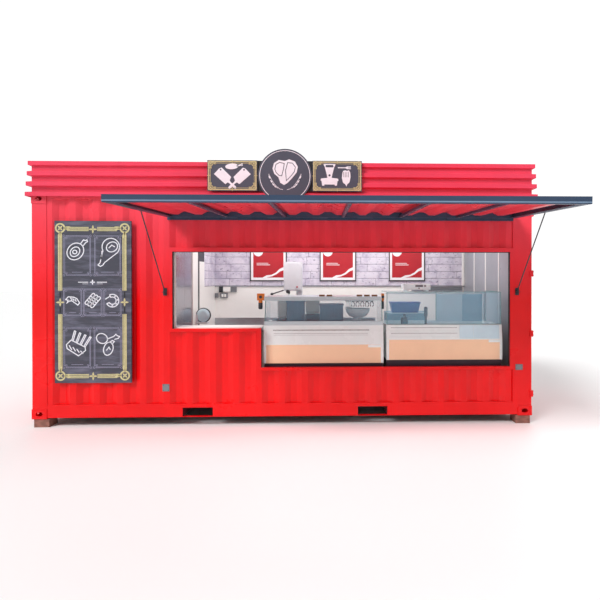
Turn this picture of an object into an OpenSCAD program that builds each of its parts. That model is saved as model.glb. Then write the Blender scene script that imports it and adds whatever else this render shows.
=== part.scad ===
// Butcher shop in a 20 foot steel container. The long front wall is cut away in
// two heights for a serving hatch, whose cover folds up on hinges into an awning
// that two rods prop. All sizes are in millimetres, +Z is up, the front faces -Y.
// Lengths along X are counted from the outer face of the left corner castings.

/* [Container] */
// Length over the corner castings
body_l = 6058; // [5600:1:7200]
// Depth over the corner castings
body_w = 2438; // [2300:1:3000]
// Height over the corner castings
body_h = 2700; // [2590:1:3200]
// Height of the timber blocks under the castings
block_h = 100; // [50:1:200]
// Face width of the two corner posts at the blind end
post_left_w = 178; // [178:1:220]
// Face width of the two corner posts at the door end
post_right_w = 240; // [180:1:300]
// Sheet thickness of the corrugated walls
sheet_t = 4; // [2:0.5:6]
// Depth of the wall corrugations
rib_depth = 36; // [20:1:50]
// Spacing of the wall corrugations
rib_pitch = 278; // [200:1:340]

/* [Serving hatch] */
// Left edge of the hatch
hatch_x0 = 1670; // [1400:1:1900]
// Height of the top edge of the hatch
hatch_top = 2010; // [1800:1:2150]
// Height of the sill of the shallow window part
window_sill_z = 1080; // [1000:1:1200]
// Height of the sill of the deep counter part
counter_sill_z = 605; // [400:1:750]
// Width of the shallow window part
window_w = 1065; // [700:1:1500]
// Face width of the steel frame round the hatch
frame_w = 38; // [30:1:60]

/* [Flap] */
// Height of the hinge pins of the flap
hinge_z = 2421; // [2380:1:2460]
// Length of the flap from its hinge pins to its front edge
flap_len = 1836; // [1500:1:1900]
// Height of the flap's tubes
flap_h = 66; // [50:1:80]
// How far each end of the flap laps past the hatch
flap_lap = 57; // [40:1:65]
// Angle by which the open flap droops below level
flap_droop = 2.56; // [0:0.01:8]
// Distance from the hinge pins to the pivots of the stays
stay_arm = 794; // [600:1:1000]
// Height at which the feet of the stays are hooked to the wall
catch_z = 1556; // [1400:1:1700]
// Diameter of the stay rods
stay_d = 15; // [10:1:20]

/* [Parapet and signs] */
// Height of the parapet
parapet_h = 420; // [300:1:520]
// Number of ribs on the parapet
parapet_ribs = 4; // [3:1:6]
// How far the top rib stands out from the castings
parapet_out = 24; // [16:1:60]
// How much further the lowest rib stands out than the top one
parapet_flare = 23; // [0:1:40]
// Width of one rectangular sign
sign_w = 592; // [400:1:700]
// Height of the rectangular signs
sign_h = 366; // [250:1:400]
// Diameter of the round sign
disc_d = 644; // [450:1:700]
// Width of the menu board
board_w = 905; // [700:1:1000]
// Height of the menu board
board_h = 1940; // [1500:1:2000]

/* [Shop fittings] */
// Depth between the rear of the container and the face of the rear lining
lining_back = 138; // [126:1:300]
// Width of the left display case
left_case_w = 1480; // [1200:1:1490]
// Height of the cases up to the glass
case_top_z = 1110; // [1050:1:1150]
// Height of the glass of the right case
right_glass_h = 410; // [300:1:480]

/* [Hidden] */
// Corner castings and rails of a freight container
casting_x = 178;
casting_y = 162;
casting_z = 118;
casting_wall = 30;
slot_l = 79;
slot_w = 51;
rail_in = 8;
rail_z0 = 12;
rail_h = 158;
rail_deep = 50;
rail_t = 6;
post_in = 6;
post_deep = 96;
post_t = 6;
wall_in = 12;
top_rail = 60;
floor_top = rail_z0 + rail_h;
deck_t = 28;
top_rail_z = body_h - top_rail;
rib_flat = 72;
rib_slope = 67;

// Fork pockets
fork_c = 1061;
fork_w = 360;
fork_z1 = 124;
fork_skin = 6;
member_pitch = 300;
member_w = 45;
member_t = 5;

// Cargo doors
door_x = body_l - 14;
door_t = 50;
door_z0 = floor_top + 6;
door_z1 = body_h - casting_z - 4;
door_gap = 12;
door_rib = 18;
door_flat = 60;
door_bays = 5;
lug_t = 12;
lug_h = 76;

// Hatch, its frame and what is measured from it
post_right_x = body_l - post_right_w;
hatch_x1 = post_right_x - frame_w;
step_x = hatch_x0 + window_w;
frame_out = 6;
frame_deep = 60;
frame_t = 4;
frame_top_w = 50;
frame_x0 = hatch_x0 - frame_w;
frame_x1 = hatch_x1 + frame_w;
frame_z1 = hatch_top + frame_top_w;
rib_phase = frame_x0 - rib_flat;

// Flap, hinges and stays
pin_y = -26;
pin_d = 12;
pin_play = 0.5;
barrel_r = 12;
barrel_l = 60;
barrel_gap = 1;
hinges = 8;
header_h = 60;
header_t = 20;
header_front = wall_in - header_t;
flap_x0 = hatch_x0 - flap_lap;
flap_x1 = hatch_x1 + flap_lap;
flap_back = 16;
tube_w = 60;
tube_t = 4;
flap_bays = 6;
rafter_w = 40;
rafter_h = 26;
stay_gap = 25;
stay_side = stay_gap + stay_d / 2;
eye_r = 14;
bolt_back = 420;
bolt_l = 280;
bolt_out = 18;
bolt_plate = 4;
stay_rise = 20;
finger_l = 60;
catch_w = 46;
catch_t = 8;
catch_slot = stay_d + 7;
catch_lip = 18;
catch_plate_h = 90;
catch_plate_t = 6;
// The pivot of a stay, from the pin line, once the flap has drooped
pivot_y = pin_y - stay_arm * cos(flap_droop) - stay_rise * sin(flap_droop);
pivot_z = hinge_z - stay_arm * sin(flap_droop) + stay_rise * cos(flap_droop);
stay_len = norm([pivot_y - pin_y, pivot_z - catch_z]);
stay_lean = atan2(pin_y - pivot_y, pivot_z - catch_z);

// Parapet
para_z0 = body_h - 35;
para_t = 4;
para_valley = 6;
para_rib = 48;
para_slope = 12;
para_pitch = (parapet_h - para_rib) / (parapet_ribs - 1);
para_max = parapet_out + parapet_flare;
para_post = 40;
para_post_in = para_valley + para_t;

// Signs
sign_gap = 8;
sign_t = 20;
disc_t = 26;
backing_t = 12;
sign_z0 = para_z0 + 67;
backing_back = parapet_out + parapet_flare * (parapet_ribs - 2) / (parapet_ribs - 1);
backing_front = backing_back + backing_t;
disc_z = sign_z0 + sign_h / 2;
board_x0 = 282;
board_z0 = 435;
board_t = 26;

// Linings and shop fittings
part_t = 40;
room_x0 = hatch_x0 + 30;
room_x1 = post_right_x + 12;
lining_t = 12;
lining_y = body_w - lining_back;
ceiling_z = body_h - 130;
ceiling_t = 15;
brick_z0 = 1561;
poster_w = 604;
poster_h = 846;
poster_t = 20;
poster_x0 = 2276;
poster_step = 1146;
poster_top = ceiling_z - 86;
bench_l = 958;
bench_w = 610;
bench_z = 900;
bench_leg = 40;
case_y0 = 100;
case_y1 = 850;
plinth_in = 22;
panel_t = 20;
left_panel_z0 = 640;
left_panel_z1 = 868;
right_panel_z0 = 675;
right_panel_z1 = 925;
cheek_w = 32;
left_case_x = step_x + 18;
case_between = 38;
case_end = 109;
right_case_x = left_case_x + left_case_w + case_between;
right_case_w = room_x1 - case_end - right_case_x;
slope_in = 26;
tub_wall = 30;
tub_floor = 960;
glass_t = 8;
canopy_z = 1405;
canopy_h = 52;
saw_x = step_x + 159;
saw_y = 1450;
saw_table_z = 975;
saw_head_z = 1500;
saw_top_z = 1930;
saw_head_w = 270;

// The whole object is centred on its bounding box and stands on z = 0
y_front = pin_y - flap_len * cos(flap_droop) - flap_h * sin(flap_droop);
y_rear = body_w + para_max;
shift = [-body_l / 2, -(y_front + y_rear) / 2, block_h];

// A part shown in its own colour at its place in the object
module placed(tint) color(tint) translate(shift) children();

// A box between two corners
module span(x, y, z) translate([x[0], y[0], z[0]]) cube([x[1] - x[0], y[1] - y[0], z[1] - z[0]]);

// A rectangular tube between two corners, open along the given axis
module tube(x, y, z, wall, axis) {
  gap = 1;
  hole = [for (i = [0:2]) i == axis ? -gap : wall];
  size = [x[1] - x[0], y[1] - y[0], z[1] - z[0]];
  difference() {
    span(x, y, z);
    translate([x[0] + hole[0], y[0] + hole[1], z[0] + hole[2]])
      cube([for (i = [0:2]) size[i] - 2 * hole[i]]);
  }
}

// Two copies, one at the front and one mirrored to the rear of the container
module front_and_rear() {
  children();
  translate([0, body_w, 0]) mirror([0, 1, 0]) children();
}

// Two copies, one at the left and one mirrored to the right of the container
module both_ends() {
  children();
  translate([body_l, 0, 0]) mirror([1, 0, 0]) children();
}

// A slot with round ends, cut along +Z, longer along X
module slot(l, w, h) {
  translate([-(l - w) / 2, -w / 2, 0]) cube([l - w, w, h]);
  for (s = [-1, 1]) translate([s * (l - w) / 2, 0, 0]) cylinder(d = w, h = h, $fn = 48);
}

// Depth of the corrugation at distance x along a wall
function rib_at(x, phase) =
  let (u = x - phase - rib_pitch * floor((x - phase) / rib_pitch))
  u < rib_flat ? 0
  : u < rib_flat + rib_slope ? rib_depth * (u - rib_flat) / rib_slope
  : u < rib_pitch - rib_slope ? rib_depth
  : rib_depth * (rib_pitch - u) / rib_slope;

// Where the corrugation changes direction between x0 and x1, with both ends
function rib_stops(x0, x1, phase) =
  let (
    turns = [0, rib_flat, rib_flat + rib_slope, rib_pitch - rib_slope],
    k0 = floor((x0 - phase) / rib_pitch),
    k1 = ceil((x1 - phase) / rib_pitch),
    all = [for (k = [k0:k1]) for (t = turns) phase + k * rib_pitch + t]
  )
  concat([x0], [for (x = all) if (x > x0 + 0.5 && x < x1 - 0.5) x], [x1]);

// A corrugated sheet along X, its outer flats on y = 0 and its ribs upright
module corrugated(x0, x1, z0, z1, phase) {
  stops = rib_stops(x0, x1, phase);
  outer = [for (x = stops) [x, rib_at(x, phase)]];
  inner = [for (i = [len(stops) - 1:-1:0]) [stops[i], rib_at(stops[i], phase) + sheet_t]];
  translate([0, 0, z0]) linear_extrude(height = z1 - z0) polygon(concat(outer, inner));
}

// ---- Under-frame ----

module timber_blocks() placed("#b9997a")
  front_and_rear() both_ends() span([22, 200], [12, 212], [-block_h, 0]);

module corner_castings() placed("#c8151c")
  front_and_rear() both_ends() for (z = [0, body_h - casting_z]) translate([0, 0, z]) casting();

// One hollow casting with a slotted face on each outer side, top and bottom
module casting() {
  w = casting_wall;
  difference() {
    cube([casting_x, casting_y, casting_z]);
    translate([w, w, w]) cube([casting_x - 2 * w, casting_y - 2 * w, casting_z - 2 * w]);
    translate([casting_x / 2, w + 1, casting_z / 2]) rotate([90, 0, 0]) slot(slot_l, slot_w, w + 2);
    translate([-1, casting_y / 2, casting_z / 2]) rotate([0, 90, 0]) rotate([0, 0, 90])
      slot(slot_l, slot_w, w + 2);
    translate([casting_x / 2, casting_y / 2, -1]) slot(100, 60, casting_z + 2);
  }
}

module bottom_side_rails() placed("#c8151c") front_and_rear() difference() {
  span([casting_x, body_l - casting_x], [rail_in, rail_in + rail_deep], [rail_z0, floor_top]);
  span([casting_x - 1, body_l], [rail_in + rail_t, body_w], [rail_z0 + rail_t, floor_top - rail_t]);
  for (s = [-1, 1]) translate([body_l / 2 + s * fork_c - fork_w / 2, 0, rail_z0 + rail_t])
    cube([fork_w, rail_deep, fork_z1 - rail_z0 - rail_t]);
  span([post_right_x, body_l], [0, body_w], [casting_z, floor_top + 1]);
}

// The sills and headers of the two ends, between the castings
module end_rails() placed("#c8151c") {
  y = [casting_y, body_w - casting_y];
  for (z = [[rail_z0, floor_top], [body_h - casting_z, body_h - 2]]) {
    tube([8, 68], y, z, rail_t, 1);
    tube([body_l - 128, body_l - 50], y, z, rail_t, 1);
  }
}

// Cross members under the deck and the two tunnels of the fork pockets
module floor_frame() placed("#7a1216") {
  y = [rail_in + rail_t, body_w - rail_in - rail_t];
  z0 = rail_z0 + rail_t;
  z1 = floor_top - deck_t;
  for (s = [-1, 1]) {
    c = body_l / 2 + s * fork_c;
    difference() {
      span([c - fork_w / 2 - fork_skin, c + fork_w / 2 + fork_skin], y, [z0, fork_z1 + fork_skin]);
      translate([c - fork_w / 2, -1, z0 - 1]) cube([fork_w, body_w, fork_z1 - z0 + 1]);
    }
  }
  half = floor((body_l / 2 - casting_x) / member_pitch);
  for (k = [-half:half]) {
    x = body_l / 2 + k * member_pitch;
    clear = abs(abs(k) * member_pitch - fork_c) > fork_w / 2 + member_w + fork_skin;
    if (clear) difference() {
      span([x - member_w / 2, x + member_w / 2], y, [z0, z1]);
      span([x - member_w / 2 + member_t, x + member_w], [0, body_w], [z0 + member_t, z1 - member_t]);
    }
  }
}

module floor_deck() placed("#8c8a86") difference() {
  z = [floor_top - deck_t, floor_top];
  span([68, body_l - 128], [rail_in + rail_deep, body_w - rail_in - rail_deep], z);
  front_and_rear() for (x = [[0, post_left_w], [post_right_x, body_l]])
    span(x, [0, post_in + post_deep], [z[0] - 1, z[1] + 1]);
}

// ---- Shell ----

module corner_posts() placed("#d61a20") front_and_rear() {
  z = [casting_z, body_h - casting_z];
  tube([post_in, post_left_w], [post_in, post_in + post_deep], z, post_t, 2);
  tube([post_right_x, body_l - post_in], [post_in, post_in + post_deep], z, post_t, 2);
}

module top_side_rails() placed("#c8151c") front_and_rear()
  tube([casting_x, body_l - casting_x], [para_post_in, para_post_in + top_rail],
       [top_rail_z, body_h], post_t, 0);

// Roof sheet with shallow cross ribs, let in between the rails and cut round the castings
module roof_panel() placed("#b5141a") {
  x0 = 68;
  x1 = body_l - 128;
  count = round((x1 - x0) / 209);
  pitch = (x1 - x0) / count;
  top = [for (k = [0:count - 1]) for (p = [[0, 0], [0.3, 0], [0.4, 18], [0.9, 18]])
    [x0 + (k + p[0]) * pitch, p[1]]];
  path = concat(top, [[x1, 0]]);
  under = [for (i = [len(path) - 1:-1:0]) [path[i][0], path[i][1] - sheet_t]];
  y0 = para_post_in + top_rail;
  difference() {
    translate([0, body_w - y0, body_h - 24]) rotate([90, 0, 0])
      linear_extrude(height = body_w - 2 * y0) polygon(concat(path, under));
    front_and_rear() both_ends() span([0, casting_x], [0, casting_y], [body_h - casting_z, body_h]);
  }
}

// Front wall pieces, all cut from one run of corrugated sheet
module front_sheet(x, z) translate([0, wall_in, 0]) corrugated(x[0], x[1], z[0], z[1], rib_phase);

module front_wall_left() placed("#e81c24")
  front_sheet([post_left_w, frame_x0], [floor_top, top_rail_z]);

module front_wall_under_window() placed("#e81c24")
  front_sheet([frame_x0, step_x - frame_w], [floor_top, window_sill_z - frame_w]);

module front_wall_under_counter() placed("#e81c24")
  front_sheet([step_x - frame_w, post_right_x], [floor_top, counter_sill_z - frame_w]);

module front_wall_over_hatch() placed("#e81c24")
  front_sheet([frame_x0, post_right_x], [frame_z1, top_rail_z]);

module rear_wall() placed("#e81c24") translate([0, body_w - wall_in, 0]) mirror([0, 1, 0])
  corrugated(post_left_w, post_right_x, floor_top, top_rail_z, rib_phase);

module left_end_wall() placed("#e81c24") translate([wall_in, 0, 0]) rotate([0, 0, 90])
  mirror([0, 1, 0]) corrugated(post_in + post_deep, body_w - post_in - post_deep, floor_top,
  body_h - casting_z, post_in + post_deep + 30);

// Two cargo doors, each a frame with a ribbed sheet, shut against the posts
module cargo_doors() placed("#d61a20") {
  z = [door_z0, door_z1];
  y0 = post_in + post_deep;
  leaf = (body_w - 2 * y0 - door_gap) / 2;
  for (k = [0, 1]) {
    y = [y0 + k * (leaf + door_gap), y0 + k * (leaf + door_gap) + leaf];
    difference() {
      span([door_x - door_t, door_x], y, z);
      span([door_x - door_t - 1, door_x - door_rib - sheet_t], [y[0] + 50, y[1] - 50], [z[0] + 60, z[1] - 60]);
      for (i = [0:door_bays - 1]) translate([door_x - door_rib, y[0] + 70, door_land(i) + door_flat])
        cube([door_rib + 1, y[1] - y[0] - 140, door_land(i + 1) - door_land(i) - door_flat]);
    }
  }
}

// Lower edge of flat number i between the recesses of a door
function door_land(i) = door_z0 + 70 + i * (door_z1 - door_z0 - 140 - door_flat) / door_bays;

// Lock rods with their keepers and handles, and the hinge lugs of the doors
module cargo_door_gear() placed("#8f9499") {
  z0 = door_z0 - 60;
  z1 = door_z1 + 56;
  x = door_x + 19;
  for (s = [-1, 1]) for (d = [230, 700]) translate([0, body_w / 2 + s * d, 0]) {
    translate([x, 0, z0]) cylinder(d = 34, h = z1 - z0, $fn = 32);
    for (i = [1, 2, 4]) span([door_x, x + 22], [-42, 42], [door_land(i) + 10, door_land(i) + 50]);
    for (z = [z0 + 6, z1 - 46]) span([door_x - 36, x + 22], [-42, 42], [z, z + 40]);
    span([x + 10, x + 24], [-22, s > 0 ? 260 : 22], [1080, 1116]);
  }
  for (z = hinge_lug_z()) front_and_rear() translate([body_l, 0, z]) {
    span([-30, lug_t], [post_in - lug_t, post_in], [0, lug_h]);
    span([-post_in, lug_t], [post_in - lug_t, post_in + post_deep + 70], [0, lug_h]);
  }
}

function hinge_lug_z() = [for (k = [0:3]) 231 + k * (body_h - 483) / 3];

// ---- Hatch frame ----

module hatch_uprights() placed("#e6232a") {
  y = [-frame_out, frame_deep - frame_out];
  tube([frame_x0, hatch_x0], y, [window_sill_z - frame_w, frame_z1], frame_t, 2);
  tube([step_x - frame_w, step_x], y, [counter_sill_z - frame_w, window_sill_z], frame_t, 2);
  tube([hatch_x1, frame_x1], y, [counter_sill_z - frame_w, frame_z1], frame_t, 2);
}

module hatch_rails() placed("#e6232a") {
  y = [-frame_out, frame_deep - frame_out];
  tube([hatch_x0, hatch_x1], y, [hatch_top, frame_z1], frame_t, 0);
  tube([hatch_x0, step_x - frame_w], y, [window_sill_z - frame_w, window_sill_z], frame_t, 0);
  tube([step_x, hatch_x1], y, [counter_sill_z - frame_w, counter_sill_z], frame_t, 0);
}

// ---- Parapet and signs ----

// How far rib number i of the parapet stands out, counted from the lowest
function rib_out(i) = parapet_out + parapet_flare * (parapet_ribs - 1 - i) / (parapet_ribs - 1);

// Outer line of the parapet sheet as [outwards, up] points from the bottom
function para_line() = [for (i = [0:parapet_ribs - 1])
  let (z = i * para_pitch)
  for (p = concat(
    [[rib_out(i), z], [rib_out(i), z + para_rib]],
    i < parapet_ribs - 1
      ? [[-para_valley, z + para_rib + para_slope], [-para_valley, z + para_pitch - para_slope]]
      : [])) p];

// A run of parapet sheet along X, its outer side towards -Y, mitred at both ends
module para_run(length) {
  line = para_line();
  back = [for (i = [len(line) - 1:-1:0]) line[i] - [para_t, 0]];
  reach = 300;
  intersection() {
    translate([-reach, 0, para_z0]) rotate([90, 0, 90])
      linear_extrude(height = length + 2 * reach)
      polygon([for (p = concat(line, back)) [-p[0], p[1]]]);
    translate([0, 0, para_z0 - 10]) linear_extrude(height = parapet_h + 20)
      polygon([[-reach, -reach], [length + reach, -reach], [length - reach, reach], [reach, reach]]);
  }
}

module parapet_front() placed("#e81c24") para_run(body_l);

module parapet_rear() placed("#e81c24") translate([body_l, body_w, 0]) rotate([0, 0, 180])
  para_run(body_l);

module parapet_ends() placed("#e81c24") {
  translate([0, body_w, 0]) rotate([0, 0, -90]) para_run(body_w);
  translate([body_l, 0, 0]) rotate([0, 0, 90]) para_run(body_w);
}

// Upright tubes that stand on the top rails and carry the parapet sheet
module parapet_posts() placed("#7a1216") {
  z = [body_h, para_z0 + parapet_h - 2];
  bays = 5;
  step = (body_l - 2 * casting_x - para_post) / bays;
  front_and_rear() for (k = [0:bays]) {
    x = casting_x + k * step;
    tube([x, x + para_post], [para_post_in, para_post_in + para_post], z, 3, 2);
  }
}

module sign_backing() placed("#25262b") {
  x = [body_l / 2 - disc_d / 2 - sign_gap - sign_w, body_l / 2 + disc_d / 2 + sign_gap + sign_w];
  span(x, [-backing_front, -backing_back], [sign_z0, sign_z0 + sign_h]);
  for (i = [2:parapet_ribs - 1]) {
    z = para_z0 + i * para_pitch;
    span(x, [-backing_back - 1, -rib_out(i)], [z, min(z + para_rib, sign_z0 + sign_h)]);
  }
}

// Two rectangular signs with the round sign between them
module sign_boards() placed("#2b2c33") {
  for (s = [-1, 1]) translate([body_l / 2 + s * (disc_d / 2 + sign_gap + sign_w / 2), 0, sign_z0])
    span([-sign_w / 2, sign_w / 2], [-backing_front - sign_t, -backing_front], [0, sign_h]);
  translate([body_l / 2, -backing_front, disc_z]) rotate([90, 0, 0])
    cylinder(d = disc_d, h = disc_t, $fn = 96);
}

module menu_board() placed("#35363d")
  span([board_x0, board_x0 + board_w], [wall_in - board_t, wall_in], [board_z0, board_z0 + board_h]);

// ---- Flap ----

// Places children drawn on the closed-up axes of the flap: origin on the pin line
// at the left end of the flap, flap running towards -Y, underside on z = 0
module on_flap() translate([flap_x0, pin_y, hinge_z]) rotate([flap_droop, 0, 0]) children();

function hinge_x(k) = flap_x0 + 200 + k * (flap_x1 - flap_x0 - 400) / (hinges - 1);

// Wall bar with the middle barrels of the hinges and their pins
module flap_header() placed("#3c4a5c") {
  span([flap_x0, post_right_x], [header_front, wall_in],
       [hinge_z - header_h / 2, hinge_z + header_h / 2]);
  for (k = [0:hinges - 1]) translate([hinge_x(k), 0, 0]) {
    translate([-barrel_l / 2, pin_y, hinge_z]) rotate([0, 90, 0])
      cylinder(r = barrel_r, h = barrel_l, $fn = 48);
    translate([-1.45 * barrel_l, pin_y, hinge_z]) rotate([0, 90, 0])
      cylinder(d = pin_d, h = 2.9 * barrel_l, $fn = 48);
    span([-barrel_l / 2, barrel_l / 2], [pin_y, header_front + 1], [hinge_z - 6, hinge_z + 6]);
  }
}

// Perimeter tubes, rafters and the outer hinge barrels
module flap_frame() placed("#3f4d60") on_flap() {
  w = flap_x1 - flap_x0;
  union() {
    tube([0, tube_w], [-flap_len, -flap_back], [0, flap_h], tube_t, 1);
    tube([w - tube_w, w], [-flap_len, -flap_back], [0, flap_h], tube_t, 1);
    tube([tube_w, w - tube_w], [-flap_len, -flap_len + tube_w], [0, flap_h], tube_t, 0);
    tube([tube_w, w - tube_w], [-flap_back - tube_w, -flap_back], [0, flap_h], tube_t, 0);
    for (k = [1:flap_bays - 1]) {
      x = tube_w / 2 + k * (w - tube_w) / flap_bays;
      span([x - rafter_w / 2, x + rafter_w / 2], [-flap_len + tube_w, -flap_back - tube_w],
           [0, rafter_h]);
    }
    for (k = [0:hinges - 1]) for (s = [-1, 1])
      translate([hinge_x(k) - flap_x0 + s * (barrel_l + barrel_gap) - barrel_l / 2, 0, 0])
        flap_barrel();
  }
}

// One bored barrel on a tab that runs back to the rear tube
module flap_barrel() difference() {
  union() {
    rotate([0, 90, 0]) cylinder(r = barrel_r, h = barrel_l, $fn = 48);
    span([0, barrel_l], [-flap_back - 1, 0], [0, 10]);
  }
  translate([-1, 0, 0]) rotate([0, 90, 0]) cylinder(d = pin_d + 2 * pin_play, h = barrel_l + 2, $fn = 48);
}

// Red corrugated sheet laid on the rafters between the tubes
module flap_skin() placed("#d3161d") on_flap() {
  play = 1;
  x = [tube_w + play, flap_x1 - flap_x0 - tube_w - play];
  translate([0, -flap_back - tube_w - play, rafter_h + rib_depth + sheet_t]) rotate([90, 0, 0])
    corrugated_skin(x, flap_len - flap_back - 2 * tube_w - 2 * play);
}

// The same corrugation as the walls, drawn flat with its ribs along +Z
module corrugated_skin(x, depth) {
  phase = rib_phase - flap_x0;
  stops = rib_stops(x[0], x[1], phase);
  outer = [for (s = stops) [s, -rib_at(s, phase)]];
  inner = [for (i = [len(stops) - 1:-1:0]) [stops[i], -rib_at(stops[i], phase) - sheet_t]];
  linear_extrude(height = depth) polygon(concat(outer, inner));
}

// Pivot bolts of the stays and a slide bolt on the outside of each end tube
module flap_end_fittings() placed("#4a5157") on_flap() {
  w = flap_x1 - flap_x0;
  for (s = [-1, 1]) translate([s < 0 ? 0 : w, 0, 0]) {
    translate([0, -stay_arm, stay_rise]) rotate([0, s * 90, 0]) {
      cylinder(d = pin_d, h = stay_gap + stay_d + 8, $fn = 48);
      cylinder(r = eye_r, h = stay_gap - 1, $fn = 48);
      translate([0, 0, stay_gap + stay_d + 2]) cylinder(r = eye_r - 3, h = 6, $fn = 6);
    }
    translate([0, -stay_arm - bolt_back, flap_h / 2]) {
      translate([s < 0 ? -bolt_plate : 0, 0, -14]) cube([bolt_plate, bolt_l, 28]);
      translate([s * bolt_out / 2, 20, 0]) rotate([-90, 0, 0])
        cylinder(d = pin_d, h = bolt_l - 30, $fn = 32);
      for (y = [10, bolt_l / 2 - 12, bolt_l - 34])
        translate([s < 0 ? -bolt_out : 0, y, -10]) cube([bolt_out, 24, 20]);
    }
  }
}

// A stay rod from its bored eye on the flap to its finger in the catch
module stay(side) {
  x = side < 0 ? flap_x0 - stay_side : flap_x1 + stay_side;
  translate([x, pivot_y, pivot_z]) {
    difference() {
      translate([-stay_d / 2, 0, 0]) rotate([0, 90, 0]) cylinder(r = eye_r, h = stay_d, $fn = 48);
      translate([-stay_d, 0, 0]) rotate([0, 90, 0])
        cylinder(d = pin_d + 2 * pin_play, h = 2 * stay_d, $fn = 48);
    }
    rotate([stay_lean, 0, 0]) translate([0, 0, -stay_len])
      cylinder(d = stay_d - 2, h = stay_len - eye_r + 3, $fn = 32);
    translate([0, pin_y - pivot_y, catch_z - pivot_z - finger_l])
      cylinder(d = stay_d, h = finger_l + stay_d / 2, $fn = 32);
  }
}

module stay_left() placed("#3a4048") stay(-1);

module stay_right() placed("#3a4048") stay(1);

// Forked plates on the wall that the fingers of the stays drop into
module stay_catches() placed("#3a4048") {
  stay_catch(flap_x0 - stay_side, wall_in);
  stay_catch(flap_x1 + stay_side, post_in);
}

module stay_catch(x, wall) translate([x, 0, catch_z]) {
  z = -finger_l / 2;
  difference() {
    span([-catch_w / 2, catch_w / 2], [pin_y - catch_lip, wall], [z - catch_t, z]);
    translate([0, pin_y, z - 2 * catch_t]) cylinder(d = catch_slot, h = 3 * catch_t, $fn = 48);
    span([-catch_slot / 2, catch_slot / 2], [pin_y - 2 * catch_lip, pin_y], [z - 2 * catch_t, z + catch_t]);
  }
  span([-catch_w / 2, catch_w / 2], [wall - catch_plate_t, wall],
       [z - catch_plate_h / 2, z + catch_plate_h / 2]);
}

// Cover plates of the power inlet and the waste outlet
module service_plates() placed("#8b8f93") {
  span([frame_x0 - 84, frame_x0 - 2], [wall_in - 8, wall_in], [324, 411]);
  span([post_right_x + 35, post_right_x + 122], [post_in - 8, post_in], [561, 631]);
}

// ---- Linings ----

module left_partition() placed("#e8e8e8")
  span([room_x0 - part_t, room_x0], [frame_deep - frame_out, lining_y], [floor_top, ceiling_z]);

module right_lining() placed("#d5d8db")
  span([room_x1, room_x1 + lining_t], [post_in + post_deep, lining_y], [floor_top, ceiling_z]);

module ceiling_lining() placed("#eeeeee")
  span([room_x0 - part_t, room_x1 + lining_t], [post_in + post_deep, lining_y + lining_t],
       [ceiling_z, ceiling_z + ceiling_t]);

module rear_lining_stone() placed("#d9d6dc")
  span([room_x0 - part_t, room_x1 + lining_t], [lining_y, lining_y + lining_t], [brick_z0, ceiling_z]);

module rear_lining_white() placed("#f2f1ec")
  span([room_x0 - part_t, room_x1 + lining_t], [lining_y, lining_y + lining_t], [floor_top, brick_z0]);

module posters() placed("#c23a40")
  for (k = [0:2]) translate([poster_x0 + k * poster_step, lining_y, poster_top - poster_h])
    span([0, poster_w], [-poster_t, 0], [0, poster_h]);

// Steel bench along the rear wall with a raised back edge
module rear_worktop() placed("#b9bdc1") {
  x = [room_x0 + 2, room_x0 + 2 + bench_l];
  y = [lining_y - bench_w, lining_y];
  span(x, y, [bench_z - 40, bench_z]);
  span(x, [lining_y - 20, lining_y], [bench_z - 1, bench_z + 135]);
  for (lx = [x[0] + 20, x[1] - 20 - bench_leg]) for (ly = [y[0] + 20, y[1] - 40 - bench_leg])
    span([lx, lx + bench_leg], [ly, ly + bench_leg], [floor_top, bench_z - 39]);
}

// White shelf inside the shallow window, on two brackets
module window_shelf() placed("#f4f4f2") {
  y0 = frame_deep - frame_out;
  top = window_sill_z + 10;
  span([room_x0, step_x - 4], [y0, y0 + 320], [top - 30, top]);
  for (x = [room_x0 + 150, step_x - 200]) translate([x, 0, 0]) rotate([90, 0, 90])
    linear_extrude(height = 12) polygon([[y0, top - 29], [y0 + 280, top - 29], [y0, top - 300]]);
}

// ---- Display cases ----

module case_plinths() placed("#3a2433") {
  case_plinth(left_case_x, left_case_w, left_panel_z0);
  case_plinth(right_case_x, right_case_w, right_panel_z0);
}

module case_plinth(x, w, top)
  span([x + 4, x + w - 4], [case_y0 + plinth_in, case_y1 - plinth_in], [floor_top, top]);

module case_fronts() placed("#ffbe96") {
  case_front(left_case_x, left_case_w, left_panel_z0, left_panel_z1);
  case_front(right_case_x, right_case_w, right_panel_z0, right_panel_z1);
}

module case_front(x, w, z0, z1)
  span([x + cheek_w, x + w - cheek_w], [case_y0, case_y0 + panel_t], [z0, z1]);

module case_tubs() placed("#f3f5f6") {
  case_tub(left_case_x, left_case_w, left_panel_z0, left_panel_z1);
  case_tub(right_case_x, right_case_w, right_panel_z0, right_panel_z1);
}

// White body of a case: a trough with a leaning front, closed by two cheeks
module case_tub(x, w, z0, z1) translate([x, 0, 0]) {
  front = [[case_y0, z1], [case_y0 + slope_in, case_top_z]];
  rim = [[case_y0 + slope_in + tub_wall, case_top_z], [case_y0 + slope_in + 2 * tub_wall, tub_floor]];
  back = [[case_y1 - tub_wall, tub_floor], [case_y1 - tub_wall, case_top_z], [case_y1, case_top_z]];
  foot = [[case_y1, z0], [case_y0 + panel_t, z0], [case_y0 + panel_t, z1]];
  rotate([90, 0, 90]) linear_extrude(height = w) polygon(concat(front, rim, back, foot));
  for (cx = [[0, cheek_w], [w - cheek_w, w]]) rotate([90, 0, 90]) translate([0, 0, cx[0]])
    linear_extrude(height = cx[1] - cx[0])
    polygon([[case_y0, z0], front[0], front[1], [case_y1, case_top_z], [case_y1, z0]]);
}

// Leaning glass on the left case and a glass box on the right case
module case_glass() placed([0.75, 0.9, 0.92, 0.4]) {
  left_glass();
  right_glass();
}

function left_glass_y(z) = case_y0 + slope_in + 4 + 0.36 * (z - case_top_z);

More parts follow.
